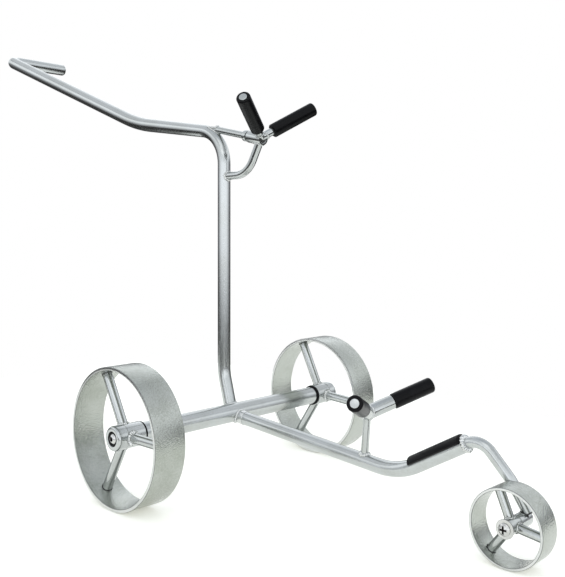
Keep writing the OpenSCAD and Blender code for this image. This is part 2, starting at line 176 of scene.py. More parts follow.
class Wiring:
    """Adds nodes to a material, world or geometry tree.

    Attributes:
        tree: The tree that the nodes go into.
    """

    def __init__(self, tree: bpy.types.NodeTree) -> None:
        """Starts on an empty tree."""
        self.tree = tree
        tree.nodes.clear()

    def node(
        self,
        kind: str,
        settings: dict[str, object] | None = None,
        inputs: dict[str | int, object] | None = None,
        output: str | int = 0,
    ) -> Sig:
        """Adds one node.

        Args:
            kind: The node's type name.
            settings: Its properties; "stops" holds a ramp's places and colours.
            inputs: The values or links of its sockets, by name or index.
            output: The output that is wanted.

        Returns:
            That output.
        """
        made = self.tree.nodes.new(kind)
        for key, value in (settings or {}).items():
            if key == "stops":
                ramp = made.color_ramp
                while len(ramp.elements) < len(value):
                    ramp.elements.new(0.5)
                for element, (place, colour) in zip(ramp.elements, value):
                    element.position = place
                    element.color = (*colour, 1)
            else:
                setattr(made, key, value)
        for key, value in (inputs or {}).items():
            if isinstance(value, Sig):
                self.tree.links.new(value.socket, made.inputs[key])
            else:
                made.inputs[key].default_value = value
        return Sig(self, made.outputs[output]) if len(made.outputs) else Sig(self, None)

    def maths(self, operation: str, first: Sig | float, second: Sig | float = 0.0) -> Sig:
        """A Math node on one or two values."""
        return self.node("ShaderNodeMath", {"operation": operation}, {0: first, 1: second})

    def vector(
        self, operation: str, first: object, second: object, output: str | int = 0
    ) -> Sig:
        """A Vector Math node on two vectors."""
        inputs = {0: first, 1: second}
        return self.node("ShaderNodeVectorMath", {"operation": operation}, inputs, output)

    def thrice(self, value: Sig) -> Sig:
        """A vector whose three parts are one value."""
        return self.node("ShaderNodeCombineXYZ", None, {part: value for part in "XYZ"})

    def noise(
        self,
        vector: Sig,
        scale: float,
        detail: float = 2.0,
        w: Sig | float = 0.0,
        output: str | int = 0,
    ) -> Sig:
        """A cloud of soft noise.

        Args:
            vector: Where it is read.
            scale: Its lumps per metre.
            detail: How many finer layers it has.
            w: Its fourth coordinate, or a seed.
            output: 0 for a value, "Color" for three.

        Returns:
            The noise, around 0.5.
        """
        return self.node(
            "ShaderNodeTexNoise",
            {"noise_dimensions": "4D"},
            {"Vector": vector, "Scale": scale, "Detail": detail, "W": w},
            output,
        )

    def blend(self, factor: Sig, low: Sig | Colour, high: Sig | Colour) -> Sig:
        """Mixes two colours.

        Args:
            factor: 0 for low, 1 for high.
            low: The first colour.
            high: The second.

        Returns:
            The mixed colour.
        """
        pair = [c if isinstance(c, Sig) else (*c, 1) for c in (low, high)]
        return self.node(
            "ShaderNodeMix", {"data_type": "RGBA"}, {0: factor, 6: pair[0], 7: pair[1]}, 2
        )


class Surface(Wiring):
    """A new material's tree, which ends in one shader."""

    def __init__(self, label: str) -> None:
        """Adds a material.

        Args:
            label: Its name.
        """
        self.material = bpy.data.materials.new(label)
        self.material.use_nodes = True
        super().__init__(self.material.node_tree)

    def place(self) -> Sig:
        """Where the surface is, in the piece's own frame."""
        return self.node("ShaderNodeTexCoord", None, None, "Object")

    def stored(self, label: str) -> Sig:
        """A value that the mesh carries at each point."""
        return self.node("ShaderNodeAttribute", {"attribute_name": label}, None, "Fac")

    def bump(self, height: Sig) -> Sig:
        """A normal that follows a height, given in bump units."""
        inputs = {"Strength": 1.0, "Distance": BUMP_UNIT * MM, "Height": height}
        return self.node("ShaderNodeBump", None, inputs)

    def close(self, inputs: dict[str | int, object]) -> bpy.types.Material:
        """Ends the tree in a shader.

        Args:
            inputs: The values or links of the shader's sockets.

        Returns:
            The finished material.
        """
        shader = self.node("ShaderNodeBsdfPrincipled", None, inputs)
        self.node("ShaderNodeOutputMaterial", None, {"Surface": shader})
        return self.material


class Recipe(Wiring):
    """A Geometry Nodes tree with named sizes, which ends in a plain mesh."""

    def __init__(self, name: str, sizes: dict[str, str]) -> None:
        """Starts the tree.

        Args:
            name: The tree's name.
            sizes: The socket type of each named input.
        """
        super().__init__(bpy.data.node_groups.new(name, "GeometryNodeTree"))
        sockets = self.tree.interface
        sockets.new_socket("Geometry", in_out="OUTPUT", socket_type="NodeSocketGeometry")
        sockets.new_socket("Geometry", in_out="INPUT", socket_type="NodeSocketGeometry")
        self.keys = {}
        for label, kind in {**sizes, "Finish": "NodeSocketMaterial"}.items():
            item = sockets.new_socket(label, in_out="INPUT", socket_type=kind)
            self.keys[label] = item.identifier
        self.source = self.tree.nodes.new("NodeGroupInput")

    def given(self, label: str) -> Sig:
        """One of the tree's own inputs."""
        return Sig(self, self.source.outputs[label])

    def line(self) -> Sig:
        """The starting edges as a curve."""
        return self.node("GeometryNodeMeshToCurve", None, {0: self.given("Geometry")})

    def girth(self) -> Sig:
        """The girth that each starting point carries."""
        kind = {"data_type": "FLOAT"}
        return self.node("GeometryNodeInputNamedAttribute", kind, {"Name": "girth"})

    def skin(self, line: Sig, girth: Sig) -> Sig:
        """A round skin along a curve.

        Args:
            line: The curve.
            girth: The skin's radius along it.

        Returns:
            The skin, with its ends filled.
        """
        circle = self.node(
            "GeometryNodeCurvePrimitiveCircle",
            {"mode": "RADIUS"},
            {"Resolution": self.given("Sides"), "Radius": 1.0},
        )
        inputs = {0: line, "Profile Curve": circle, "Scale": girth, "Fill Caps": True}
        return self.node("GeometryNodeCurveToMesh", None, inputs)

    def close(self, geometry: Sig) -> None:
        """Ends the tree: smooth, real faces in the given finish.

        Args:
            geometry: What the tree has made.
        """
        smooth = self.node("GeometryNodeSetShadeSmooth", None, {0: geometry})
        real = self.node("GeometryNodeRealizeInstances", None, {0: smooth})
        inputs = {0: real, "Material": self.given("Finish")}
        dressed = self.node("GeometryNodeSetMaterial", None, inputs)
        self.node("NodeGroupOutput", None, {0: dressed})

    def grow(self, start: bpy.types.Mesh, sizes: dict[str, object]) -> bpy.types.Mesh:
        """Runs the tree on a starting mesh.

        Args:
            start: What the tree starts from; it is used up.
            sizes: A value for each named input.

        Returns:
            The plain mesh that comes out.
        """
        carrier = bpy.data.objects.new("carrier", start)
        bpy.context.scene.collection.objects.link(carrier)
        modifier = carrier.modifiers.new("recipe", "NODES")
        modifier.node_group = self.tree
        for label, value in sizes.items():
            modifier[self.keys[label]] = value
        bpy.context.view_layer.update()
        depsgraph = bpy.context.evaluated_depsgraph_get()
        grown = bpy.data.meshes.new_from_object(carrier.evaluated_get(depsgraph))
        carrier.modifiers.remove(modifier)
        bpy.data.objects.remove(carrier)
        bpy.data.meshes.remove(start)
        return grown


def tube_recipe() -> Recipe:
    """A round bar along a line of points, as thick as each point says.

    Returns:
        The tree, with the input Sides.
    """
    r = Recipe("bent_tube", {"Sides": "NodeSocketInt"})
    length = r.node("GeometryNodeSplineParameter", None, None, "Length")
    line = r.node(
        "GeometryNodeStoreNamedAttribute",
        {"data_type": "FLOAT", "domain": "POINT"},
        {0: r.line(), "Name": "along", "Value": length},
    )
    r.close(r.skin(line, r.girth()))
    return r


def bead_recipe() -> Recipe:
    """A rippled weld bead round each closed line.

    Returns:
        The tree, with inputs for the ripple's pitch and depth, its wander and its seed.
    """
    lump_scale, shake_scale = 420.0, 800.0  # per metre
    sizes = ("Step", "Pitch", "Ripple", "Wander", "Drift", "Seed")
    r = Recipe("weld_bead", {**{s: "NodeSocketFloat" for s in sizes}, "Sides": "NodeSocketInt"})
    inputs = {0: r.line(), "Length": r.given("Step")}
    line = r.node("GeometryNodeResampleCurve", {"mode": "LENGTH"}, inputs)
    length = r.node("GeometryNodeSplineParameter", None, None, "Length")
    place = r.node("GeometryNodeInputPosition")
    lump = r.noise(place, lump_scale, 1.0, r.given("Seed"))
    ripple = (length * FULL_TURN / r.given("Pitch")).cosine()
    swell = 1 + ripple * r.given("Ripple") + (lump - 0.5) * r.given("Wander")
    bead = r.skin(line, r.girth() * swell)
    shake = r.noise(place, shake_scale, 2.0, r.given("Seed"), "Color")
    shake = r.vector("SUBTRACT", shake, (0.5, 0.5, 0.5))
    shake = r.vector("MULTIPLY", shake, r.thrice(r.given("Drift")))
    r.close(r.node("GeometryNodeSetPosition", None, {0: bead, "Offset": shake}))
    return r


def repeat_recipe() -> Recipe:
    """Copies of one part, each turned further round a centre than the last.

    Returns:
        The tree, with inputs for the count, the first turn, the step and the centre.
    """
    vectors = {label: "NodeSocketVector" for label in ("First turn", "Step turn", "Centre")}
    r = Recipe("turned_copies", {"Count": "NodeSocketInt", **vectors})
    points = r.node("GeometryNodePoints", None, {"Count": r.given("Count")})
    index = r.thrice(r.node("GeometryNodeInputIndex"))
    turn = r.vector("MULTIPLY", index, r.given("Step turn"))
    turn = r.vector("ADD", turn, r.given("First turn"))
    turn = r.node("FunctionNodeEulerToRotation", None, {0: turn})
    inputs = {"Points": points, "Instance": r.given("Geometry"), "Rotation": turn}
    copies = r.node("GeometryNodeInstanceOnPoints", None, inputs)
    inputs = {0: copies, "Translation": r.given("Centre")}
    r.close(r.node("GeometryNodeTransform", None, inputs))
    return r


# --- Finishes -----------------------------------------------------------------------------


@dataclass(frozen=True)
class SteelFinish:
    """Bare steel with a worked surface."""

    label: str
    light: Colour
    dark: Colour
    roughness: float
    spread: float = 0.10  # how far the roughness strays
    lines: float = 1600.0  # polishing lines per metre of length
    line_depth: float = 0.02  # in mm
    dimples: float = 700.0  # lumps per metre
    dimple_depth: float = 0.01  # in mm
    stain: float = 0.35  # share of the surface that is duller
    specks: float = 2600.0  # bright and dull specks per metre

    def build(self) -> bpy.types.Material:
        """Makes the material.

        Returns:
            The finished material.
        """
        cloud_scale, cross_scale = 38.0, 0.12  # clouds per metre; a line's wander across
        g = Surface(self.label)
        place = g.place()
        cloud = g.noise(place, cloud_scale, 4.0)
        speck = g.noise(place, self.specks, 2.0, 3.0)
        lumps = g.noise(place, self.dimples, 3.0, 7.0)
        lines = g.noise(
            g.vector("MULTIPLY", place, (cross_scale,) * 3),
            self.lines * cross_scale,
            2.0,
            g.stored("along") * self.lines,
        )
        mottle = cloud + (speck - 0.5) * 0.5 + (lumps - 0.5) * 0.4
        dull = mottle.rise(self.stain - 0.15, self.stain + 0.35)
        steel = g.blend(dull, self.dark, self.light)
        height = lines * (self.line_depth / BUMP_UNIT) + lumps * (self.dimple_depth / BUMP_UNIT)
        rough = self.roughness + (cloud - 0.5) * self.spread * 2 + (lines - 0.5) * self.spread
        return g.close(
            {
                # Faces marked with the recess attribute are painted near-black: painted shade in
                # the screw's socket
                "Base Color": g.blend(g.stored("recess"), steel, RECESS_PAINTED_SHADE),
                "Metallic": 1.0,
                "Roughness": rough,
                "Normal": g.bump(height),
            }
        )


@dataclass(frozen=True)
class MouldedFinish:
    """Black rubber or plastic with a fine mould grain."""

    label: str
    base: Colour
    rubbed: Colour
    roughness: float
    grain: float = 1500.0  # lumps per metre
    grain_depth: float = 0.02  # in mm
    dust: float = 0.62  # above this the surface looks rubbed or dusty
    gloss: float = 0.14  # its specular level

    def build(self) -> bpy.types.Material:
        """Makes the material.

        Returns:
            The finished material.
        """
        cloud_scale = 90.0  # clouds per metre
        g = Surface(self.label)
        cloud = g.noise(g.place(), cloud_scale, 5.0)
        grain = g.noise(g.place(), self.grain, 3.0, 2.0)
        rubbed = (cloud + (grain - 0.5) * 0.3).rise(self.dust - 0.12, self.dust + 0.12)
        return g.close(
            {
                "Base Color": g.blend(rubbed, self.base, self.rubbed),
                "Roughness": self.roughness + rubbed * 0.15 + (grain - 0.5) * 0.1,
                "Specular IOR Level": self.gloss,
                "Normal": g.bump(grain * (self.grain_depth / BUMP_UNIT)),
            }
        )


FINISHES = {
    Slot.SATIN: SteelFinish(
        "satin_steel_tube",
        (0.52, 0.54, 0.54),
        (0.44, 0.455, 0.44),
        0.20,
        spread=0.04,
        line_depth=0.002,
        dimple_depth=0.003,
    ),
    Slot.RIM: SteelFinish(
        "brushed_rim_steel",
        (0.475, 0.495, 0.465),
        (0.355, 0.375, 0.335),
        0.19,
        spread=0.06,
        lines=1800.0,
        line_depth=0.004,
        dimples=1050.0,
        dimple_depth=0.30,
        specks=800.0,
    ),
    Slot.BRIGHT: SteelFinish(
        "polished_weld_steel",
        (0.68, 0.69, 0.68),
        (0.52, 0.53, 0.52),
        0.20,
        line_depth=0.003,
        dimple_depth=0.015,
    ),
    Slot.SCREW: SteelFinish(
        "plated_screw_steel", (0.63, 0.63, 0.62), (0.48, 0.48, 0.46), 0.17, dimple_depth=0.005
    ),
    Slot.RUBBER: MouldedFinish(
        "black_rubber_sleeve", (0.0015, 0.0015, 0.002), (0.005, 0.005, 0.006), 0.34
    ),
    Slot.PLASTIC: MouldedFinish(
        "black_bush_plastic", (0.0015, 0.0015, 0.002), (0.006, 0.006, 0.007), 0.42, grain=2200.0
    ),
}
# Near-black steel for thin rings at seams: a dark seam with painted crevice shade over it
JOINT_SHADE = SteelFinish(
    "seam_crevice_shade_steel", (0.12, 0.12, 0.12), (0.04, 0.04, 0.04), 0.5, dimple_depth=0.02
)
# Dark steel for the rims' rounded edges: a painted dark edge shade
EDGE_SHADE = SteelFinish(
    "painted_edge_shade_steel", (0.13, 0.135, 0.13), (0.13, 0.135, 0.13), 0.35, dimple_depth=0.02
)


# --- Shapes -------------------------------------------------------------------------------


def at_y(point: Vector, y: float) -> Vector:
    """The same point moved sideways to y."""
    return Vector((point.x, y, point.z))


def across(way: Vector) -> tuple[Vector, Vector]:
    """Finds the two directions across an axis.

    Args:
        way: The axis.

    Returns:
        Two unit vectors at right angles to it and to each other.
    """
    start = Vector((0, 0, 1)) if abs(way.z) < 0.9 else Vector((1, 0, 0))
    first = (start - way * start.dot(way)).normalized()
    return first, way.cross(first)


def soften(section: Section, radius: float, steps: int = 4) -> list[tuple[float, float]]:
    """Rounds each corner of a closed section.

    Args:
        section: Its corners.
        radius: How far from a corner the round starts.
        steps: The number of facets in each round.

    Returns:
        The rounded outline.
    """
    corners = [Vector(c) for c in section]
    outline = []
    for i, corner in enumerate(corners):
        before, after = corners[i - 1] - corner, corners[(i + 1) % len(corners)] - corner
        start = corner + before.normalized() * min(radius, before.length * 0.45)
        end = corner + after.normalized() * min(radius, after.length * 0.45)
        for k in range(steps + 1):
            t = k / steps
            point = start * (1 - t) ** 2 + corner * (2 * t * (1 - t)) + end * t**2
            outline.append((point.x, point.y))
    return outline


def band(
    inner: float, outer: float, low: float, high: float, round_by: float, steps: int = 4
) -> list[tuple[float, float]]:
    """The section of a plain ring with rounded edges.

    Args:
        inner: Its bore's radius.
        outer: Its own radius.
        low: Where it starts along its axis.
        high: Where it ends.
        round_by: How far from a corner the round starts.
        steps: The number of facets in each round.

    Returns:
        The outline, as radius and height.
    """
    return soften([(inner, low), (outer, low), (outer, high), (inner, high)], round_by, steps)


def ring(centre: Vector, way: Vector, radii: np.ndarray | float, sides: int) -> np.ndarray:
    """A ring of points.

    Args:
        centre: Its middle.
        way: Its axis.
        radii: Its radius, or one for each point.
        sides: The number of points.

    Returns:
        The points, one a row.
    """
    first, second = across(way)
    angles = np.arange(sides) * FULL_TURN / sides
    arms = np.outer(np.cos(angles), first) + np.outer(np.sin(angles), second)
    return np.array(centre) + arms * np.reshape(np.broadcast_to(radii, sides), (-1, 1))


def loft(rings: Sequence[np.ndarray], along: Sequence[float], closed: bool) -> bpy.types.Mesh:
    """Skins rings of equal count.

    Args:
        rings: The rings, in order.
        along: A length for each ring, which the finishes read.
        closed: Whether the last ring joins the first; otherwise both ends get a face.

    Returns:
        The closed shell.
    """
    sides, count = len(rings[0]), len(rings)
    faces = []
    for i in range(count if closed else count - 1):
        a, b = i * sides, (i + 1) % count * sides
        for k in range(sides):
            n = (k + 1) % sides
            faces.append((a + k, a + n, b + n, b + k))
    if not closed:
        faces.append(tuple(reversed(range(sides))))
        faces.append(tuple((count - 1) * sides + k for k in range(sides)))
    mesh = bpy.data.meshes.new("loft")
    mesh.from_pydata(np.concatenate(rings).tolist(), [], faces)
    lengths = mesh.attributes.new("along", "FLOAT", "POINT")
    lengths.data.foreach_set("value", np.repeat(np.float32(along), sides))
    return mesh


def turned(
    section: Section, start: Vector, way: Vector, closed: bool = True, sides: int = 64
) -> bpy.types.Mesh:
    """A part turned on a lathe.

    Args:
        section: Its outline, as radius and height, in metres.
        start: Where height 0 lies on its axis.
        way: Its axis.
        closed: True for a ring whose outline closes, False for a solid with flat ends.
        sides: The number of facets round it.

    Returns:
        The turned mesh.
    """
    rings = [ring(start + way * height, way, radius, sides) for radius, height in section]
    return loft(rings, [height for _, height in section], closed)


def face_outward(mesh: bpy.types.Mesh) -> None:
    """Turns a closed shell right side out, and shades it smooth but for its sharp edges.

    Args:
        mesh: The shell, which is changed.
    """
    work = bmesh.new()
    work.from_mesh(mesh)
    if work.calc_volume(signed=True) < 0:
        bmesh.ops.reverse_faces(work, faces=work.faces)
    work.to_mesh(mesh)
    work.free()
    mesh.shade_smooth()
    mesh.set_sharp_from_angle(angle=SHARP_EDGE)


@dataclass
class Run:
    """A round bar along a line of points, in metres."""

    points: list[Vector]
    radii: list[float]

    @classmethod
    def bent(
        cls, corners: Sequence[Vector], bends: Sequence[float], radii: Sequence[float]
    ) -> Run:
        """A bar bent at its inner corners.

        Args:
            corners: Where its straight runs would meet.
            bends: The bend radius at each inner corner.
            radii: The bar's own radius at each corner.

        Returns:
            The bar.
        """
        points, thick = [corners[0]], [radii[0]]
        for a, b, c, bend, radius in zip(corners, corners[1:], corners[2:], bends, radii[1:]):
            u, w = (b - a).normalized(), (c - b).normalized()
            turn = u.angle(w)
            axis = u.cross(w).normalized()
            start = b - u * bend * math.tan(turn / 2)
            centre = start + axis.cross(u) * bend
            steps = max(4, math.ceil(math.degrees(turn) / BEND_FACET))
            for i in range(steps + 1):
                spin = Quaternion(axis, turn * i / steps)
                points.append(centre + spin @ (start - centre))
                thick.append(radius)
        return cls(points + [corners[-1]], thick + [radii[-1]])

    @classmethod
    def straight(cls, start: Vector, end: Vector, radius: float) -> Run:
        """A straight bar."""
        return cls([start, end], [radius, radius])

    def rounded_end(self, round_by: float) -> Run:
        """Rounds the bar's far end over.

        Args:
            round_by: The round's radius.

        Returns:
            The rounded bar.
        """
        way = (self.points[-1] - self.points[-2]).normalized()
        radius = self.radii[-1]
        steps = 5
        turns = [i / steps * math.pi / 2 for i in range(steps + 1)]
        tip = self.points[-1] - way * round_by
        return Run(
            self.points[:-1] + [tip + way * round_by * math.sin(t) for t in turns],
            self.radii[:-1] + [radius - round_by * (1 - math.cos(t)) for t in turns],
        )

    def line(self) -> bpy.types.Mesh:
        """Draws the bar's middle line.

        Returns:
            Its points and edges, each point with its girth.
        """
        edges = [(i, i + 1) for i in range(len(self.points) - 1)]
        mesh = bpy.data.meshes.new("run")
        mesh.from_pydata([tuple(p) for p in self.points], edges, [])
        mesh.attributes.new("girth", "FLOAT", "POINT").data.foreach_set("value", self.radii)
        return mesh

    def holds(self, places: np.ndarray) -> np.ndarray:
        """Which places lie inside the bar.

        Args:
            places: Points, one a row.

        Returns:
            True or False for each.
        """
        inside = np.zeros(len(places), bool)
        for a, b, ra, rb in zip(self.points, self.points[1:], self.radii, self.radii[1:]):
            step = np.array(b - a)
            t = np.clip((places - np.array(a)) @ step / (step @ step), 0, 1)
            gap = np.linalg.norm(places - np.array(a) - t[:, None] * step, axis=1)
            inside |= gap <= ra + t * (rb - ra)
        return inside

    def seam(
        self, start: Vector, way: Vector, radius: float, reach: float = JOINT_REACH * MM
    ) -> list[Vector]:
        """The closed line where a rod comes out of this bar.

        Args:
            start: A point on the rod's axis, near the joint.
            way: The rod's direction, away from the bar.
            radius: The rod's radius.
            reach: How far each way from start to look.

        Returns:
            The line's points.
        """
        steps = np.arange(-reach, reach, SEAM_STEP * MM)
        line = []
        for base in ring(start, way, radius, SEAM_POINTS):
            inside = self.holds(base + steps[:, None] * np.array(way))
            out = steps[inside][-1] if inside.any() else 0.0
            line.append(Vector(base) + way * float(out))
        return line


@dataclass
class Loop:
    """A closed line that a weld bead follows."""

    points: list[Vector]
    girth: float  # the bead's radius, in metres


def loop_lines(loops: Sequence[Loop]) -> bpy.types.Mesh:
    """Draws closed lines for weld beads.

    Args:
        loops: The lines.

    Returns:
        One mesh of edges, each point with its bead's girth.
    """
    places, edges, girths = [], [], []
    for loop in loops:
        first, count = len(places), len(loop.points)
        places += [tuple(p) for p in loop.points]
        edges += [(first + k, first + (k + 1) % count) for k in range(count)]
        girths += [loop.girth] * count
    mesh = bpy.data.meshes.new("loops")
    mesh.from_pydata(places, edges, [])
    mesh.attributes.new("girth", "FLOAT", "POINT").data.foreach_set("value", girths)
    return mesh


# --- Workshop -----------------------------------------------------------------------------


class Workshop:
    """Makes pieces by recipe, dresses them and hangs them on the rack's bodies."""

    def __init__(self, frame: dict[str, object]) -> None:
        """Makes the finishes and recipes once, for every piece.

        Args:
            frame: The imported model, as it was loaded.
        """
        self.nodes = frame["nodes"]
        self.finishes = {slot: finish.build() for slot, finish in FINISHES.items()}
        self.joint_shade = JOINT_SHADE.build()
        self.edge_shade = EDGE_SHADE.build()
        self.tube_tree = tube_recipe()
        self.bead_tree = bead_recipe()
        self.repeat_tree = repeat_recipe()

    def tube(self, run: Run, sides: int = 48) -> bpy.types.Mesh:
        """A bar's mesh."""
        finish = self.finishes[Slot.SATIN]
        return self.tube_tree.grow(run.line(), {"Sides": sides, "Finish": finish})

    def beads(
        self, loops: Sequence[Loop], seed: float, ripple: float = BEAD_RIPPLE
    ) -> bpy.types.Mesh:
        """Weld beads along closed lines.

        Args:
            loops: The lines, each with its bead's girth.
            seed: What sets one bead's lumps apart from another's.
            ripple: How deep the ripples are, as a share of the girth.

        Returns:
            One mesh of all the beads.
        """
        sizes = {
            "Step": BEAD_STEP * MM,
            "Pitch": BEAD_PITCH * MM,
            "Ripple": ripple,
            "Wander": ripple * 4,
            "Drift": max(loop.girth for loop in loops) * ripple * 3,
            "Seed": seed,
            "Sides": 12,
            "Finish": self.finishes[Slot.BRIGHT],
        }
        return self.bead_tree.grow(loop_lines(loops), sizes)

    def copies(
        self, mesh: bpy.types.Mesh, count: int, first: Vector, step: Vector, centre: Vector
    ) -> bpy.types.Mesh:
        """Turned copies of a mesh round a centre.

        Args:
            mesh: One copy, drawn about the origin; it is used up.
            count: How many there are.
            first: The first one's turn about X, Y and Z, in radians.
            step: The turn from one to the next.
            centre: Where the copies' origin goes.

        Returns:
            One mesh of all the copies.
        """
        sizes = {
            "Count": count,
            "First turn": first,
            "Step turn": step,
            "Centre": centre,
            "Finish": self.finishes[Slot.SATIN],
        }
        return self.repeat_tree.grow(mesh, sizes)

    def put(
        self,
        name: str,
        mesh: bpy.types.Mesh,
        body: Body,
        slot: Slot,
        replaces: Sequence[str] = (),
        finish: bpy.types.Material | None = None,
    ) -> bpy.types.Object:
        """Turns a mesh into a finished piece.

        Args:
            name: The piece's name.
            mesh: Its mesh, in place.
            body: The body that it rides on.
            slot: The record's slot for its finish.
            replaces: The CAD nodes that it stands for.
            finish: Its material, where that isn't the slot's own.

        Returns:
            The piece.
        """
        face_outward(mesh)
        mesh.name = name
        mesh.materials.clear()
        mesh.materials.append(finish or self.finishes[slot])
        piece = bpy.data.objects.new(name, mesh)
        bpy.context.scene.collection.objects.link(piece)
        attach(piece, body.value)
        if replaces:
            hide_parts(*replaces)
        LOG.info("%s: %d faces on %s", name, len(mesh.polygons), body.value)
        return piece

    def on_frame(
        self, name: str, mesh: bpy.types.Mesh, slot: Slot, *replaces: str
    ) -> bpy.types.Object:
        """Turns a mesh into a finished piece of the frame."""
        return self.put(name, mesh, Body.FRAME, slot, replaces)

    def dress(self, node: str, slot: Slot) -> None:
        """Gives a CAD node that stays its finish.

        Args:
            node: The node's name.
            slot: The record's slot for its finish.
        """
        carried = self.nodes[node]
        if not carried.material_slots:
            carried.data.materials.append(None)
        for place in carried.material_slots:
            place.material = self.finishes[slot]
        LOG.info("%s: kept, %s", node, slot.value)


@dataclass(frozen=True)
class Layout:
    """The rack's datum points, both on its middle plane, in metres."""

    axle: Vector
    front: Vector

    @classmethod
    def read(cls) -> Layout:
        """Takes the axles' places from the CAD nodes round them."""
        return cls(*(at_y(middle_of(node), 0.0) for node in ("axle_tube", "front_rim")))

    def spot(self, x: float, z: float, y: float = 0.0) -> Vector:
        """A point given in mm from the floor under the rear axle."""
        return Vector((self.axle.x + x * MM, y * MM, z * MM))


def middle_of(node: str) -> Vector:
    """The centre of a CAD node's box."""
    low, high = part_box(node)
    return (low + high) / 2


# --- Wheels -------------------------------------------------------------------------------


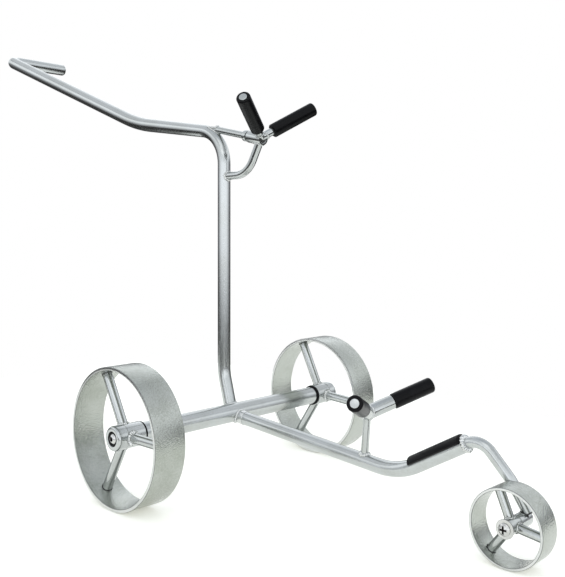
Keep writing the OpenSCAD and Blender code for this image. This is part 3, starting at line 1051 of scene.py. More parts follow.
@dataclass
class Wheel:
    """One wheel: rim, three spokes, hub, bush and welds."""

    shop: Workshop
    body: Body
    label: str
    nodes: dict[str, str]
    outward: int  # which way along Y its outer face looks
    first_spoke: float  # degrees
    rim_wall: float  # mm
    bush_r: float  # mm
    bush_inset: float  # mm
    bore_r: float  # mm
    bead: float  # mm, the hub welds' radius
    seam: float  # mm, the same of the dark lines at the rim, which are painted crevice shade over the seam
    bead_shares: tuple[float, float, float] = (1.0, 1.0, 1.0)
    cap_len: float = 0.0  # mm of cap at the hub's outer end, 0 for none
    sides: int = 192
    spoke_count: int = 3

    def __post_init__(self) -> None:
        """Reads the wheel's sizes off its CAD nodes."""
        self.rim_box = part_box(self.nodes["rim"])
        self.hub_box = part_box(self.nodes["hub"])
        spokes_low, spokes_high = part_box(self.nodes["spokes"])
        self.centre = (self.rim_box[0] + self.rim_box[1]) / 2
        self.rim_r = (self.rim_box[1].z - self.rim_box[0].z) / 2
        self.bore_of_rim = self.rim_r - self.rim_wall * MM
        self.hub_r = (self.hub_box[1].z - self.hub_box[0].z) / 2
        self.spoke_r = (spokes_high.y - spokes_low.y) / 2
        self.spoke_y = (spokes_high.y + spokes_low.y) / 2

    def lathe(self, outline: Section, sides: int) -> bpy.types.Mesh:
        """A ring turned on the wheel's axis."""
        return turned(outline, at_y(self.centre, 0.0), LEFTWARD, sides=sides)

    def put(
        self, part: str, mesh: bpy.types.Mesh, slot: Slot, replaces: str
    ) -> bpy.types.Object:
        """Turns a mesh into a finished piece of the wheel."""
        name = f"{self.label}_{part}"
        return self.shop.put(name, mesh, self.body, slot, [self.nodes[replaces]])

    def out_in(self, box: tuple[Vector, Vector]) -> tuple[float, float]:
        """A box's outer and inner end along Y, as this wheel faces."""
        ends = (box[0].y, box[1].y)
        return ends if self.outward < 0 else ends[::-1]

    def build(self) -> None:
        """Makes every piece of the wheel."""
        self.make_rim()
        self.make_spokes()
        self.make_hub()
        self.make_welds()

    def make_rim(self) -> None:
        """The rim, with softened edges: its flat faces in a lighter steel than its tread, its
        rounded edges in dark steel as painted edge shade.
        """
        edge, flat, rounded = 0.4 * MM, 0.97, 0.3  # the last two: how squarely a face looks out
        low, high = self.rim_box
        outline = band(self.bore_of_rim, self.rim_r, low.y, high.y, edge)
        piece = self.put("rim", self.lathe(outline, self.sides), Slot.RIM, "rim")
        piece.data.materials.append(self.shop.finishes[Slot.BRIGHT])
        piece.data.materials.append(self.shop.edge_shade)
        # Rounded edge facets take the dark steel as painted edge shade; flat faces take the
        # lighter steel
        for face in piece.data.polygons:
            lean = abs(face.normal.y)
            face.material_index = 1 if lean > flat else 2 if lean > rounded else 0

    def make_spokes(self) -> None:
        """Three round spokes between the hub and the rim's bore."""
        root, sunk = 0.9, 0.3 * MM  # its start, as a share of the hub's radius; its end in the rim
        start = Vector((0, 0, self.hub_r * root))
        end = Vector((0, 0, self.bore_of_rim + sunk))
        spoke = self.shop.tube(Run.straight(start, end, self.spoke_r))
        first = Vector((0, math.radians(90 - self.first_spoke), 0))
        step = Vector((0, -FULL_TURN / self.spoke_count, 0))
        centre = at_y(self.centre, self.spoke_y)
        mesh = self.shop.copies(spoke, self.spoke_count, first, step, centre)
        self.put("spokes", mesh, Slot.SATIN, "spokes")

    def make_hub(self) -> None:
        """The hub, its rounded cap and the black bush inside it."""
        outer, inner = self.out_in(self.hub_box)
        step = 1 if inner > outer else -1
        r, bore = self.hub_r, self.bush_r * MM
        edge = min(1.6 * MM, self.hub_r * 0.2)
        outline = [(bore, outer), (r - edge, outer), (r - edge * 0.3, outer + step * edge * 0.3)]
        outline.append((r, outer + step * edge))
        if self.cap_len:
            seam = outer + step * self.cap_len * MM
            groove = 0.3 * MM
            outline += [(r, seam - step * groove), (r - groove, seam)]
            outline += [(r - groove * 0.6, seam + step * groove)]
        outline += [(r - 0.1 * MM, inner), (bore, inner)]
        self.put("hub", self.lathe(soften(outline, 0.25 * MM, 3), 96), Slot.SATIN, "hub")
        face = outer + step * self.bush_inset * MM
        outline = band(self.bore_r * MM, bore, face, inner, 0.2 * MM, 3)
        self.put("bush", self.lathe(outline, 64), Slot.PLASTIC, "bush")

    def make_welds(self) -> None:
        """Bright beads where the spokes leave the hub, and dark lines of painted crevice shade
        over the seam where they meet the rim.
        """
        axis = LEFTWARD * (self.rim_box[1].y - self.rim_box[0].y)
        middle = at_y(self.centre, self.spoke_y)
        hub = Run.straight(middle - axis, middle + axis, self.hub_r)
        bore = Run.straight(middle - axis, middle + axis, self.bore_of_rim)
        welds, lines = [], []
        for k in range(self.spoke_count):
            angle = math.radians(self.first_spoke) + FULL_TURN * k / self.spoke_count
            way = Vector((math.cos(angle), 0, math.sin(angle)))
            foot = hub.seam(middle, way, self.spoke_r, self.hub_r * 1.5)
            top = bore.seam(middle, way, self.spoke_r, self.rim_r)
            welds.append(Loop(foot, self.bead * self.bead_shares[k] * MM))
            lines.append(Loop(top, self.seam * MM))
        name, beads = f"{self.label}_hub_welds", self.shop.beads(welds, seed=1.7)
        self.shop.put(name, beads, self.body, Slot.BRIGHT)
        # These dark rings are painted crevice shade over the spoke-to-rim seam
        name, beads = f"{self.label}_rim_joints", self.shop.beads(lines, seed=4.1, ripple=0.08)
        self.shop.put(name, beads, self.body, Slot.SATIN, finish=self.shop.joint_shade)


@dataclass
class Fastening:
    """A round-headed screw with a recess in its head."""

    head_r: float  # mm
    head_h: float
    dome_r: float
    shank_r: float
    shank_len: float
    drive: Drive
    reach: float  # mm from the middle of the recess to its furthest point
    depth: float
    slot_w: float = 0.9
    sides: int = 96

    def recess(self, share: float) -> np.ndarray:
        """Draws the recess's mouth.

        Args:
            share: Its size, as a share of the full one.

        Returns:
            Its radius at each facet of the head.
        """
        angles = np.arange(self.sides) * FULL_TURN / self.sides
        if self.drive is Drive.HEXAGON:
            fold = np.mod(angles, FULL_TURN / 6) - FULL_TURN / 12
            return self.reach * math.cos(math.pi / 6) / np.cos(fold) * MM * share
        fold = np.mod(angles + math.pi / 4, math.pi / 2) - math.pi / 4
        arm = self.reach / np.cos(fold)
        flank = self.slot_w / 2 / np.maximum(np.abs(np.sin(fold)), 1e-3)
        return np.minimum(arm, flank) * MM * share

    def dome(self, radii: np.ndarray) -> float:
        """Measures the head's height over its seat.

        Args:
            radii: Where, as distances from the axis; their mean counts.

        Returns:
            The height, in metres.
        """
        radius = float(np.mean(radii)) / MM
        sag = self.dome_r - math.sqrt(max(self.dome_r**2 - radius**2, 0))
        return (self.head_h - sag) * MM

    def mesh(self, seat: Vector, way: Vector) -> bpy.types.Mesh:
        """The screw.

        Args:
            seat: Where its head meets what it holds, on its axis.
            way: Outward, from its tip to its head.

        Returns:
            Its closed shell.
        """
        head, dome_steps = self.head_r * MM, 6
        edge = max(self.dome(np.array([head])), 0.2 * MM)
        stack = [
            (self.shank_r * 0.8 * MM, -self.shank_len * MM),
            (self.shank_r * MM, (0.4 - self.shank_len) * MM),
            (self.shank_r * MM, 0.0),
            (head - 0.15 * MM, 0.0),
            (head, 0.12 * MM),
            (head, edge * 0.9),
        ]
        mouth = self.recess(1.0)
        rim = float(mouth.max()) + 0.25 * MM
        for k in range(dome_steps + 1):
            radius = head + (rim - head) * k / dome_steps
            stack.append((radius, self.dome(np.array([radius]))))
        for share in (0.5, 1.0):
            radii = rim + (mouth - rim) * share
            stack.append((radii, self.dome(radii)))
        floor = self.dome(mouth) - self.depth * MM
        pit = [
            (mouth * 0.94, self.dome(mouth) - 0.15 * MM),
            (mouth * 0.8, floor),
            (mouth * 0.3, floor - 0.12 * MM),
        ]
        # The pit's rings are marked so that the finish paints them dark, as painted shade in the
        # recess
        recess_shade_mask = np.repeat(np.float32([0] * len(stack) + [1] * len(pit)), self.sides)
        stack += pit
        rings = [ring(seat + way * float(h), way, radii, self.sides) for radii, h in stack]
        mesh = loft(rings, [float(h) for _, h in stack], False)
        mesh.attributes.new("recess", "FLOAT", "POINT").data.foreach_set("value", recess_shade_mask)
        return mesh


@dataclass
class RearAxle:
    """The tube between the rear wheels, its washers, rod, bushes and end screws."""

    shop: Workshop
    layout: Layout
    washer_bore: float = 2.5  # mm, its radius

    def build(self) -> None:
        """Makes every piece of the axle."""
        low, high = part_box("axle_tube")
        axle = self.layout.axle
        run = Run.straight(at_y(axle, high.y), at_y(axle, low.y), (high.z - low.z) / 2)
        tube = self.shop.tube(run.rounded_end(0.3 * MM), 64)
        self.shop.on_frame("axle_tube_body", tube, Slot.SATIN, "axle_tube")
        self.make_washers(high.y)
        self.make_screws()
        self.shop.dress("axle_rod", Slot.BRIGHT)
        self.shop.dress("axle_bushes", Slot.PLASTIC)

    def pair(self, mesh: bpy.types.Mesh) -> bpy.types.Mesh:
        """A part at each end of the axle, turned about its middle."""
        return self.shop.copies(mesh, 2, Vector(), Vector((0, 0, math.pi)), self.layout.axle)

    def make_washers(self, tube_end: float) -> None:
        """One black washer at each end of the tube.

        Args:
            tube_end: Where the tube ends along Y.
        """
        low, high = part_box("rear_washers")
        outline = band(self.washer_bore * MM, (high.z - low.z) / 2, tube_end, high.y, 0.3 * MM)
        mesh = self.pair(turned(outline, Vector(), LEFTWARD))
        self.shop.on_frame("axle_end_washers", mesh, Slot.RUBBER, "rear_washers")

    def make_screws(self) -> None:
        """One button-head screw in each end of the rod."""
        rod_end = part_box("axle_rod")[1].y
        screw = Fastening(3.3, 1.9, 4.2, 1.5, 11.6, Drive.HEXAGON, 1.75, 1.1)
        mesh = self.pair(screw.mesh(LEFTWARD * rod_end, LEFTWARD))
        self.shop.on_frame("axle_end_screws", mesh, Slot.SCREW, "rear_screws")


# --- Frame --------------------------------------------------------------------------------


@dataclass
class Handle:
    """The post, the shoulder, the long handle tube and its grip."""

    shop: Workshop
    layout: Layout
    post_d: float = 9.8
    elbow_d: float = 11.0
    grip_d: float = 11.6
    foot: tuple[float, float] = (-4.0, 47.5)
    knee: tuple[float, float] = (-12.2, 76.0)
    shoulder: tuple[float, float] = (-12.2, 260.4)
    elbow: tuple[float, float] = (-123.7, 277.8)
    grip_corner: tuple[float, float] = (-348.0, 364.3)
    bends: tuple[float, ...] = (40.0, 28.0, 170.0, 9.0)
    plug_dome: float = 2.2

    def __post_init__(self) -> None:
        """Sets out the tube's path."""
        spot = self.layout.spot
        turns = (self.foot, self.knee, self.shoulder, self.elbow, self.grip_corner)
        self.corners = [spot(*turn) for turn in turns]
        self.corners.append(at_y(self.corners[-1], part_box("main_tube")[1].y))
        widths = [self.post_d] * 3 + [self.elbow_d, self.grip_d, self.grip_d]
        self.run = Run.bent(
            self.corners, [b * MM for b in self.bends], [w / 2 * MM for w in widths]
        )

    def build(self) -> None:
        """Makes the tube and its plug."""
        mesh = self.shop.tube(self.run.rounded_end(0.25 * MM), 56)
        self.shop.on_frame("handle_tube", mesh, Slot.SATIN, "main_tube")
        self.make_plug()

    def make_plug(self) -> None:
        """The domed plug that closes the grip."""
        r, dome, steps = self.grip_d / 2 * MM, self.plug_dome * MM, 8
        stack = [(r - 1.4 * MM, -5.8 * MM), (r - 1.2 * MM, 0.0), (r - 0.1 * MM, 0.02 * MM)]
        for k in range(steps + 1):
            angle = k / steps * math.pi / 2 * 0.97
            stack.append((r - dome * (1 - math.cos(angle)) - 0.05 * MM, dome * math.sin(angle)))
        stack.append((r * 0.3, dome))
        mesh = turned(stack, self.corners[-1], LEFTWARD, closed=False)
        self.shop.on_frame("grip_end_plug", mesh, Slot.SATIN, "grip_plug")


@dataclass
class LowerFrame:
    """The lower tube, the pad on it, the strut, and the stay that carries the front wheel."""

    shop: Workshop
    layout: Layout
    tube_d: float = 9.8
    stay_d: float = 6.8
    strut_d: float = 5.0
    start: tuple[float, float] = (0.0, 45.6)
    low: tuple[float, float] = (151.8, 32.5)
    bend: float = 51.0
    nose_slope: float = 29.25
    nose_reach: float = 54.7
    stay: tuple[tuple[float, float], ...] = ((209.7, 64.9), (227.6, 42.3), (236.4, 25.5))
    stay_bends: tuple[float, float] = (11.3, 40.0)
    stay_twist: float = 7.9
    strut_foot: tuple[float, float] = (124.2, 33.0)
    strut_top: tuple[float, float] = (127.0, 66.5)
    pad_start: float = 13.0
    pad_gap: float = 0.4
    pad_arc: float = 150.0
    pad_t: float = 1.8

    def __post_init__(self) -> None:
        """Sets out the paths."""
        spot = self.layout.spot
        slope = math.radians(self.nose_slope)
        self.nose_way = Vector((math.cos(slope), 0, math.sin(slope)))
        self.vertex = spot(*self.low)
        self.nose = self.vertex + self.nose_way * self.nose_reach * MM
        radius = self.tube_d / 2 * MM
        corners = [spot(*self.start), self.vertex, self.nose]
        self.run = Run.bent(corners, [self.bend * MM], [radius] * 3)
        lean = Matrix.Rotation(math.radians(self.stay_twist), 3, self.nose_way)
        corners = [self.nose - self.nose_way * 4 * MM]
        corners += [self.nose + lean @ (spot(*p) - self.nose) for p in self.stay]
        bends = [bend * MM for bend in self.stay_bends]
        self.stay_corners = corners
        self.stay_run = Run.bent(corners, bends, [self.stay_d / 2 * MM] * 4)

    def build(self) -> None:
        """Makes the tubes, the pad and the boss."""
        put, tube = self.shop.on_frame, self.shop.tube
        put("lower_frame_tube", tube(self.run), Slot.SATIN, "lower_tube")
        put("front_wheel_stay", tube(self.stay_run, 40), Slot.SATIN, "front_stay")
        foot, top = (self.layout.spot(*p) for p in (self.strut_foot, self.strut_top))
        strut = Run.straight(foot, top, self.strut_d / 2 * MM)
        put("cradle_strut", tube(strut, 36), Slot.SATIN, "lower_strut")
        self.make_pad()
        self.make_boss()

    def make_pad(self) -> None:
        """The black saddle that the bottle's base stands on."""
        up = Vector((-self.nose_way.z, 0, self.nose_way.x))
        inner = self.tube_d / 2 * MM + 0.05 * MM
        outer = inner + (self.pad_t - 0.1) * MM
        start, end = self.pad_start * MM, (self.nose_reach - self.pad_gap) * MM
        half = math.radians(self.pad_arc / 2)
        lip, thinning = 0.11, 0.55  # radians of thinner lip at each side, and how much thinner
        stations = [(0.0, 0.7), (0.12, 0.3), (0.4, 0.08), (0.8, 0.0)]  # mm in, mm lower
        marks = [(start + s * MM, inset * MM) for s, inset in stations]
        marks += [(end - s * MM, inset * MM) for s, inset in reversed(stations)]
        rings = []
        for place, inset in marks:
            top, turn = outer - inset, half - inset / outer
            box = [(inner, -turn), (top, -turn), (top, turn), (inner, turn)]
            ring_points = []
            for (ra, ta), (rb, tb) in zip(box, box[1:] + box[:1]):
                count = 40 if abs(tb - ta) > 0.01 else 8
                for k in range(count):
                    t = k / count
                    r, a = ra + (rb - ra) * t, ta + (tb - ta) * t
                    corner = max(0.0, abs(a) - (turn - lip)) / lip
                    if r > inner:
                        r = inner + (r - inner) * (1 - thinning * corner**2)
                    arm = up * math.cos(a) + LEFTWARD * math.sin(a)
                    ring_points.append(self.vertex + self.nose_way * place + arm * r)
            rings.append(np.array([tuple(p) for p in ring_points]))
        mesh = loft(rings, [place for place, _ in marks], False)
        self.shop.on_frame("bottle_foot_pad", mesh, Slot.RUBBER, "foot_pad")

    def make_boss(self) -> None:
        """The round-ended boss that holds the front wheel's screw."""
        low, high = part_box("front_boss")
        r, edge, rounding, steps = (high.z - low.z) / 2, 0.35 * MM, 2.0 * MM, 8
        stack = [(r - edge, low.y), (r, low.y + edge)]
        for k in range(steps + 1):
            angle = k / steps * math.pi / 2
            height = high.y - rounding * (1 - math.sin(angle))
            stack.append((r - rounding * (1 - math.cos(angle)), height))
        mesh = turned(stack, self.layout.front, LEFTWARD, closed=False)
        self.shop.on_frame("front_axle_boss", mesh, Slot.SATIN, "front_boss")
        self.shop.dress("boss_grub_screw", Slot.PLASTIC)


@dataclass
class Arm:
    """A straight arm of a fork, with its rubber sleeve."""

    apex: Vector
    way: Vector
    length: float  # mm, from the middle plane
    bare: float  # mm at the root without rubber
    arm_d: float
    rubber_d: float
    root_d: float = 0.0  # mm, of a thick root as long as the bare part, 0 for none

    def steel(self) -> Run:
        """Draws the steel bar, rounded over at its tip.

        Returns:
            The bar.
        """
        way, tip = self.way, self.apex + self.way * self.length * MM
        radius, round_by = self.arm_d / 2 * MM, 0.4 * MM
        if not self.root_d:
            return Run.straight(self.apex - way * 1.5 * MM, tip, radius).rounded_end(round_by)
        root = self.root_d / 2 * MM
        step = self.apex + way * self.bare * MM
        points = [self.apex - way * 2 * MM, step - way * 0.8 * MM, step - way * 0.25 * MM]
        points += [step, step + way * 0.01 * MM, tip]
        radii = [root, root, root - 0.15 * MM, root - 0.7 * MM, radius, radius]
        return Run(points, radii).rounded_end(round_by)

    def mirrored(self) -> Arm:
        """The arm on the other side of the middle plane."""
        return replace(self, way=Vector((self.way.x, -self.way.y, self.way.z)))

    def sleeve(self) -> bpy.types.Mesh:
        """Turns the rubber sleeve, rounded at both ends.

        Returns:
            The sleeve's mesh.
        """
        r, bore = self.rubber_d / 2 * MM, self.arm_d / 2 * MM
        near, far = self.bare * MM, (self.length - 0.15) * MM
        chamfer, rounding, steps = 0.8 * MM, 1.5 * MM, 8
        outline = [(bore, near), (r - chamfer, near)]
        outline += [(r, near + chamfer), (r, far - rounding)]
        for k in range(1, steps):
            angle = k / steps * math.pi / 2
            height = far - rounding * (1 - math.sin(angle))
            outline.append((r - rounding * (1 - math.cos(angle)), height))
        outline += [(bore + 0.35 * MM, far), (bore, far - 0.5 * MM)]
        return turned(soften(outline, 0.3 * MM, 3), self.apex, self.way, sides=56)


@dataclass
class Fork:
    """Two arms that spread from the middle plane to hold the bottle's side."""

    shop: Workshop
    label: str
    arm: Arm  # the right one

    def build(self) -> None:
        """Makes both arms and their sleeves."""
        put, label = self.shop.on_frame, self.label
        for side, arm in (("left", self.arm.mirrored()), ("right", self.arm)):
            bar = self.shop.tube(arm.steel(), 48)
            put(f"{label}_fork_arm_{side}", bar, Slot.SATIN, f"{label}_arm_{side}")
            sleeve, node = arm.sleeve(), f"{label}_rubber_{side}"
            put(f"{label}_fork_sleeve_{side}", sleeve, Slot.RUBBER, node)


@dataclass
class NeckRest:
    """The rod, collar and sleeve above the post, and the curved stay under them."""

    shop: Workshop
    layout: Layout
    rod_d: float = 5.2
    stay_d: float = 5.9
    rod: tuple[tuple[float, float], ...] = ((-20.0, 263.8), (30.9, 252.3))
    sleeve_r: float = 4.6
    sleeve_len: float = 15.0
    collar_r: float = 4.2
    collar_len: float = 3.4
    collar_gap: float = 1.6
    stay: tuple[tuple[float, float], ...] = ((-9.0, 227.3), (14.0, 227.5), (29.0, 254.6))
    stay_bend: float = 20.0

    def __post_init__(self) -> None:
        """Sets out the rod and the stay."""
        self.start, self.end = (self.layout.spot(*p) for p in self.rod)
        self.way = (self.end - self.start).normalized()
        self.sleeve_start = self.end - self.way * self.sleeve_len * MM
        self.stay_points = [self.layout.spot(*p) for p in self.stay]
        self.stay_run = Run.bent(
            self.stay_points, [self.stay_bend * MM], [self.stay_d / 2 * MM] * 3
        )

    def build(self) -> None:
        """Makes the rod, its rings and the curved stay."""
        put, tube = self.shop.on_frame, self.shop.tube
        bore = self.rod_d / 2 * MM
        rod = Run.straight(self.start, self.end, bore)
        put("neck_rest_rod", tube(rod, 36), Slot.SATIN, "neck_rod")
        put("neck_rest_stay", tube(self.stay_run, 40), Slot.SATIN, "curved_stay")
        outline = band(bore, self.sleeve_r * MM, 0.0, self.sleeve_len * MM, 0.5 * MM)
        sleeve = turned(outline, self.sleeve_start, self.way)
        put("neck_rest_sleeve", sleeve, Slot.SATIN, "neck_sleeve")
        outline = band(bore, self.collar_r * MM, -self.collar_len * MM, 0.0, 0.6 * MM)
        collar = turned(outline, self.sleeve_start - self.way * self.collar_gap * MM, self.way)
        put("neck_rest_collar", collar, Slot.SATIN, "neck_collar")


@dataclass
class FrameWelds:
    """The beads at the frame's joints."""

    shop: Workshop
    layout: Layout
    handle: Handle
    lower: LowerFrame
    neck: NeckRest
    neck_arm: Arm
    cradle_arm: Arm

    def joint(self, host: Run, start: Vector, end: Vector, d: float, girth: float) -> Loop:
        """The bead's line where a rod of diameter d, from start towards end, leaves the host."""
        return Loop(host.seam(start, (end - start).normalized(), d / 2 * MM), girth * MM)

    def build(self) -> None:
        """Makes the beads, grouped by joint."""
        handle, lower, neck = self.handle, self.lower, self.neck
        axle_low, axle_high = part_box("axle_tube")
        axle, reach, axle_r = self.layout.axle, LEFTWARD * 30 * MM, (axle_high.z - axle_low.z) / 2
        tube = Run.straight(axle - reach, axle + reach, axle_r)
        post = Run.straight(handle.corners[1], handle.corners[2], handle.post_d / 2 * MM)
        strut = [self.layout.spot(*place) for place in (lower.strut_foot, lower.strut_top)]
        sleeve = Run.straight(neck.sleeve_start, neck.end, neck.sleeve_r * MM)
        root, bend, top = neck.stay_points
        # name: where it runs, its radius in mm, its seed
        beads = {
            "post_foot": (tube, *handle.corners[:2], handle.post_d, 0.9, 2.1),
            "lower_tube": (tube, *lower.run.points[:2], lower.tube_d, 1.0, 3.3),
            "strut_foot": (lower.run, *strut, lower.strut_d, 1.3, 5.2),
            "stay_root": (post, root, bend, neck.stay_d, 1.1, 6.4),
            "stay_top": (sleeve, top, bend, neck.stay_d, 0.7, 7.7),
            "neck_rod": (handle.run, neck.start, neck.end, neck.rod_d, 0.8, 8.5),
        }
        for name, (*joint, seed) in beads.items():
            mesh = self.shop.beads([self.joint(*joint)], seed, 0.2)
            self.shop.on_frame(f"{name}_weld", mesh, Slot.BRIGHT)
        self.make_nose_ring()
        self.make_boss_joint()
        self.make_fork_joints(sleeve)
        self.make_start_ring()

    def make_nose_ring(self) -> None:
        """The thick bright bead where the front stay comes out of the lower tube."""
        ring_r, bead_r, ahead = 3.7, 1.75, 0.9  # mm
        place = self.lower.nose + self.lower.nose_way * ahead * MM
        points = [Vector(p) for p in ring(place, self.lower.nose_way, ring_r * MM, 48)]
        mesh = self.shop.beads([Loop(points, bead_r * MM)], 9.6, 0.13)
        self.shop.on_frame("nose_weld_ring", mesh, Slot.BRIGHT, "nose_collar")

    def make_boss_joint(self) -> None:
        """The dark line between the front stay and the boss: painted crevice shade over the seam.
        """
        low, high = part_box("front_boss")
        front, radius = self.layout.front, (high.z - low.z) / 2
        boss = Run.straight(at_y(front, low.y), at_y(front, high.y), radius)
        corners = self.lower.stay_corners
        loop = self.joint(boss, corners[-1], corners[-2], self.lower.stay_d, 0.45)
        mesh, shade = self.shop.beads([loop], 10.4, 0.15), self.shop.joint_shade
        self.shop.put("front_boss_joint", mesh, Body.FRAME, Slot.SATIN, finish=shade)

    def make_fork_joints(self, sleeve: Run) -> None:
        """The beads at the roots of both forks.

        Args:
            sleeve: The neck rest's sleeve, which the upper fork grows from.
        """
        girth = 0.7 * MM
        arms, radius = (self.neck_arm, self.neck_arm.mirrored()), self.neck_arm.arm_d / 2 * MM
        loops = [Loop(sleeve.seam(arm.apex, arm.way, radius), girth) for arm in arms]
        self.shop.on_frame("neck_fork_welds", self.shop.beads(loops, 11.2), Slot.BRIGHT)
        arm, crossing = self.cradle_arm, []
        for point in ring(arm.apex, arm.way, arm.root_d / 2 * MM, 48):
            crossing.append(Vector(point) - arm.way * (point[1] / arm.way.y))
        mesh = self.shop.beads([Loop(crossing, girth)], 12.9)
        self.shop.on_frame("cradle_fork_weld", mesh, Slot.BRIGHT)

    def make_start_ring(self) -> None:
        """The polished ring round the lower tube beside the axle."""
        start, after = self.lower.run.points[:2]
        near, far, r, edge = 8.3 * MM, 12.3 * MM, self.lower.tube_d / 2 * MM, 0.3 * MM
        outline = band(r - edge, r + 0.35 * MM, near, far, edge)
        mesh = turned(outline, start, (after - start).normalized())
        self.shop.on_frame("lower_tube_ring", mesh, Slot.BRIGHT)


def front_screw(shop: Workshop, layout: Layout) -> None:
    """Makes the front wheel's cross-recess screw and its washer.

    Args:
        shop: Where pieces are made.
        layout: The rack's datum points.
    """
    low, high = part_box("front_washer")
    outline = band(2.0 * MM, (high.z - low.z) / 2, low.y, high.y, 0.25 * MM)
    washer = turned(outline, layout.front, LEFTWARD)
    shop.on_frame("front_screw_washer", washer, Slot.SCREW, "front_washer")
    length = (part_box("front_screw")[1].y - low.y) / MM
    screw = Fastening(3.5, 2.0, 5.2, 2.0, length, Drive.CROSS, 2.2, 1.2, slot_w=1.15)
    mesh = screw.mesh(at_y(layout.front, low.y), -LEFTWARD)
    shop.on_frame("front_axle_screw", mesh, Slot.SCREW, "front_screw")


# --- Studio -------------------------------------------------------------------------------


@dataclass(frozen=True)
class Studio:
    """The pale floor, the soft light and the camera."""

    eye: tuple[float, float, float] = (0.4977, -0.4144, 0.1841)
    heading: float = 43.342  # degrees to the left of +Y
    lens: float = 50.04
    shift: tuple[float, float] = (-0.0135, -0.0973)
    floor_size: tuple[float, float] = (0.46, 0.34)  # half its length and width
    floor_glow: float = 0.34
    aim_height: float = 0.15  # metres, of the point that the lights face
    viewer_way: Colour = (0.6863, -0.7273, 0.0)  # from the rack towards the camera
    wall_dark: Colour = (0.18, 0.18, 0.19)
    wall_bright: Colour = (1.75, 1.80, 1.87)
    under_floor: Colour = (0.06, 0.06, 0.06)
    sky: tuple[tuple[float, Colour], ...] = (
        (0.0, (0.60, 0.64, 0.68)),
        (0.20, (0.90, 0.95, 1.00)),
        (0.36, (1.28, 1.32, 1.36)),
        (0.52, (1.22, 1.26, 1.30)),
        (0.60, (0.66, 0.69, 0.74)),
        (0.68, (0.92, 0.95, 0.99)),
        (0.85, (0.84, 0.88, 0.93)),
        (1.0, (0.70, 0.75, 0.82)),
    )  # its bands, by height

    def build(self) -> None:
        """Makes the whole studio."""
        self.make_floor()
        self.make_world()
        self.make_light("key_softbox", (1.1, -1.5, 1.9), 1.6, 5.0, WHITE)
        self.make_light("back_softbox", (-1.6, 1.4, 1.7), 1.8, 3.0, (0.92, 0.96, 1.0))
        self.make_light("left_softbox", (-1.7, -1.3, 1.0), 1.2, 0.8, WHITE)
        self.make_camera()
        bpy.context.scene.view_settings.view_transform = "Standard"

    def make_floor(self) -> None:
        """A plain pale floor."""
        x, y = self.floor_size
        mesh = bpy.data.meshes.new("studio_floor")
        corners = [(-x, -y, 0), (x, -y, 0), (x, y, 0), (-x, y, 0)]
        mesh.from_pydata(corners, [], [(0, 1, 2, 3)])
        floor = bpy.data.objects.new("studio_floor", mesh)
        bpy.context.scene.collection.objects.link(floor)
        g = Surface("pale_floor")
        cloud = g.noise(g.place(), 3.0, 3.0)
        finish = g.close(
            {
                "Base Color": g.blend(cloud, (0.90, 0.90, 0.87), (0.92, 0.92, 0.89)),
                "Roughness": 0.9 + (cloud - 0.5) * 0.1,
                "Emission Color": (1.0, 1.0, 0.90, 1.0),
                "Emission Strength": self.floor_glow,
            }
        )
        mesh.materials.append(finish)

    def make_world(self) -> None:
        """A white surround whose reflected sky is brightest high up."""
        world = bpy.data.worlds.new("studio_world")
        world.use_nodes = True
        bpy.context.scene.world = world
        w = Wiring(world.node_tree)
        way = w.node("ShaderNodeTexCoord", None, None, "Generated")
        height = w.node("ShaderNodeSeparateXYZ", None, {0: way}, "Z")
        facing = w.vector("DOT_PRODUCT", way, self.viewer_way, "Value")
        level = w.maths("SQRT", 1.0001 - height * height)
        walls = w.blend((facing / level).rise(-0.6, 0.97), self.wall_dark, self.wall_bright)
        walls = w.blend(height.rise(-0.10, -0.02), self.under_floor, walls)
        sky = w.node("ShaderNodeValToRGB", {"stops": self.sky}, {0: height})
        room = w.blend(height.rise(0.07, 0.30), walls, sky)
        seen = w.node("ShaderNodeLightPath", None, None, "Is Camera Ray")
        colour = w.blend(seen, room, WHITE)
        shader = w.node("ShaderNodeBackground", None, {"Color": colour, "Strength": 1.0})
        w.node("ShaderNodeOutputWorld", None, {"Surface": shader})

    def make_light(
        self,
        name: str,
        place: tuple[float, float, float],
        size: float,
        power: float,
        colour: Colour,
    ) -> None:
        """Hangs a soft light that faces the rack.

        Args:
            name: The light's name.
            place: Where it hangs, in metres.
            size: Its side.
            power: Its strength in watts.
            colour: Its tint.
        """
        light = bpy.data.lights.new(name, "AREA")
        light.shape = "SQUARE"
        light.size, light.energy, light.color = size, power, colour
        lamp = bpy.data.objects.new(name, light)
        lamp.location = place
        aim = Vector((0, 0, self.aim_height)) - Vector(place)
        lamp.rotation_euler = aim.to_track_quat("-Z", "Y").to_euler()
        bpy.context.scene.collection.objects.link(lamp)

    def make_camera(self) -> None:
        """The camera, level, at the height of the rack's middle."""
        data = bpy.data.cameras.new("camera")
        data.lens, data.sensor_width = self.lens, 36.0
        data.shift_x, data.shift_y = self.shift
        data.clip_start, data.clip_end = 0.01, 100.0
        camera = bpy.data.objects.new("camera", data)
        camera.location = self.eye
        camera.rotation_euler = (math.pi / 2, 0, math.radians(self.heading))
        bpy.context.scene.collection.objects.link(camera)
        bpy.context.scene.camera = camera


# --- Assembly -----------------------------------------------------------------------------


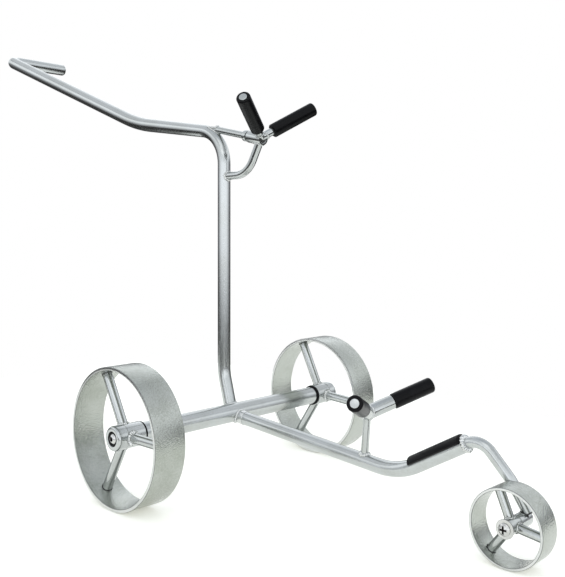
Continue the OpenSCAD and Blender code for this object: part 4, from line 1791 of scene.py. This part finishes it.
def make_wheels(shop: Workshop) -> None:
    """Makes the two rear wheels and the front wheel.

    Args:
        shop: Where pieces are made.
    """
    for body, side, outward, first in (
        (Body.REAR_LEFT, "left", 1, -4.0),
        (Body.REAR_RIGHT, "right", -1, 0.0),
    ):
        nodes = {part: f"rear_{part}_{side}" for part in ("rim", "spokes", "hub", "bush")}
        Wheel(
            shop,
            body,
            f"{side}_wheel",
            nodes,
            outward,
            first,
            rim_wall=2.3,
            bush_r=5.0,
            bush_inset=1.2,
            bore_r=2.55,
            bead=0.95,
            seam=0.42,
            bead_shares=(1.6, 1.0, 1.0),
            cap_len=8.0,
        ).build()
    nodes = {part: f"front_{part}" for part in ("rim", "spokes", "hub", "bush")}
    Wheel(
        shop,
        Body.FRONT,
        "nose_wheel",
        nodes,
        -1,
        -8.0,
        rim_wall=1.7,
        bush_r=3.3,
        bush_inset=0.0,
        bore_r=2.05,
        bead=0.6,
        seam=0.38,
        sides=144,
    ).build()


def make_frame(shop: Workshop, layout: Layout) -> None:
    """Makes the frame, its forks and its welds.

    Args:
        shop: Where pieces are made.
        layout: The rack's datum points.
    """
    RearAxle(shop, layout).build()
    handle = Handle(shop, layout)
    handle.build()
    lower = LowerFrame(shop, layout)
    lower.build()
    neck = NeckRest(shop, layout)
    neck.build()
    neck_way, cradle_way = Vector((19.3, -37.0, 23.4)), Vector((22.4, -41.4, 15.9))
    widths = {"arm_d": 5.9, "rubber_d": 10.3}
    neck_arm = Arm(layout.spot(28.6, 254.0), neck_way.normalized(), 47.5, 9.5, **widths)
    apex = layout.spot(127.0, 66.5)
    cradle_arm = Arm(apex, cradle_way.normalized(), 49.5, 19.0, **widths, root_d=9.4)
    Fork(shop, "neck", neck_arm).build()
    Fork(shop, "cradle", cradle_arm).build()
    FrameWelds(shop, layout, handle, lower, neck, neck_arm, cradle_arm).build()
    front_screw(shop, layout)


def main() -> None:
    """Builds the rack round its frame, in its studio."""
    logging.basicConfig(level=logging.INFO, format="%(message)s")
    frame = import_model()
    shop = Workshop(frame)
    layout = Layout.read()
    make_wheels(shop)
    make_frame(shop, layout)
    Studio().build()


if __name__ == "__main__":
    main()
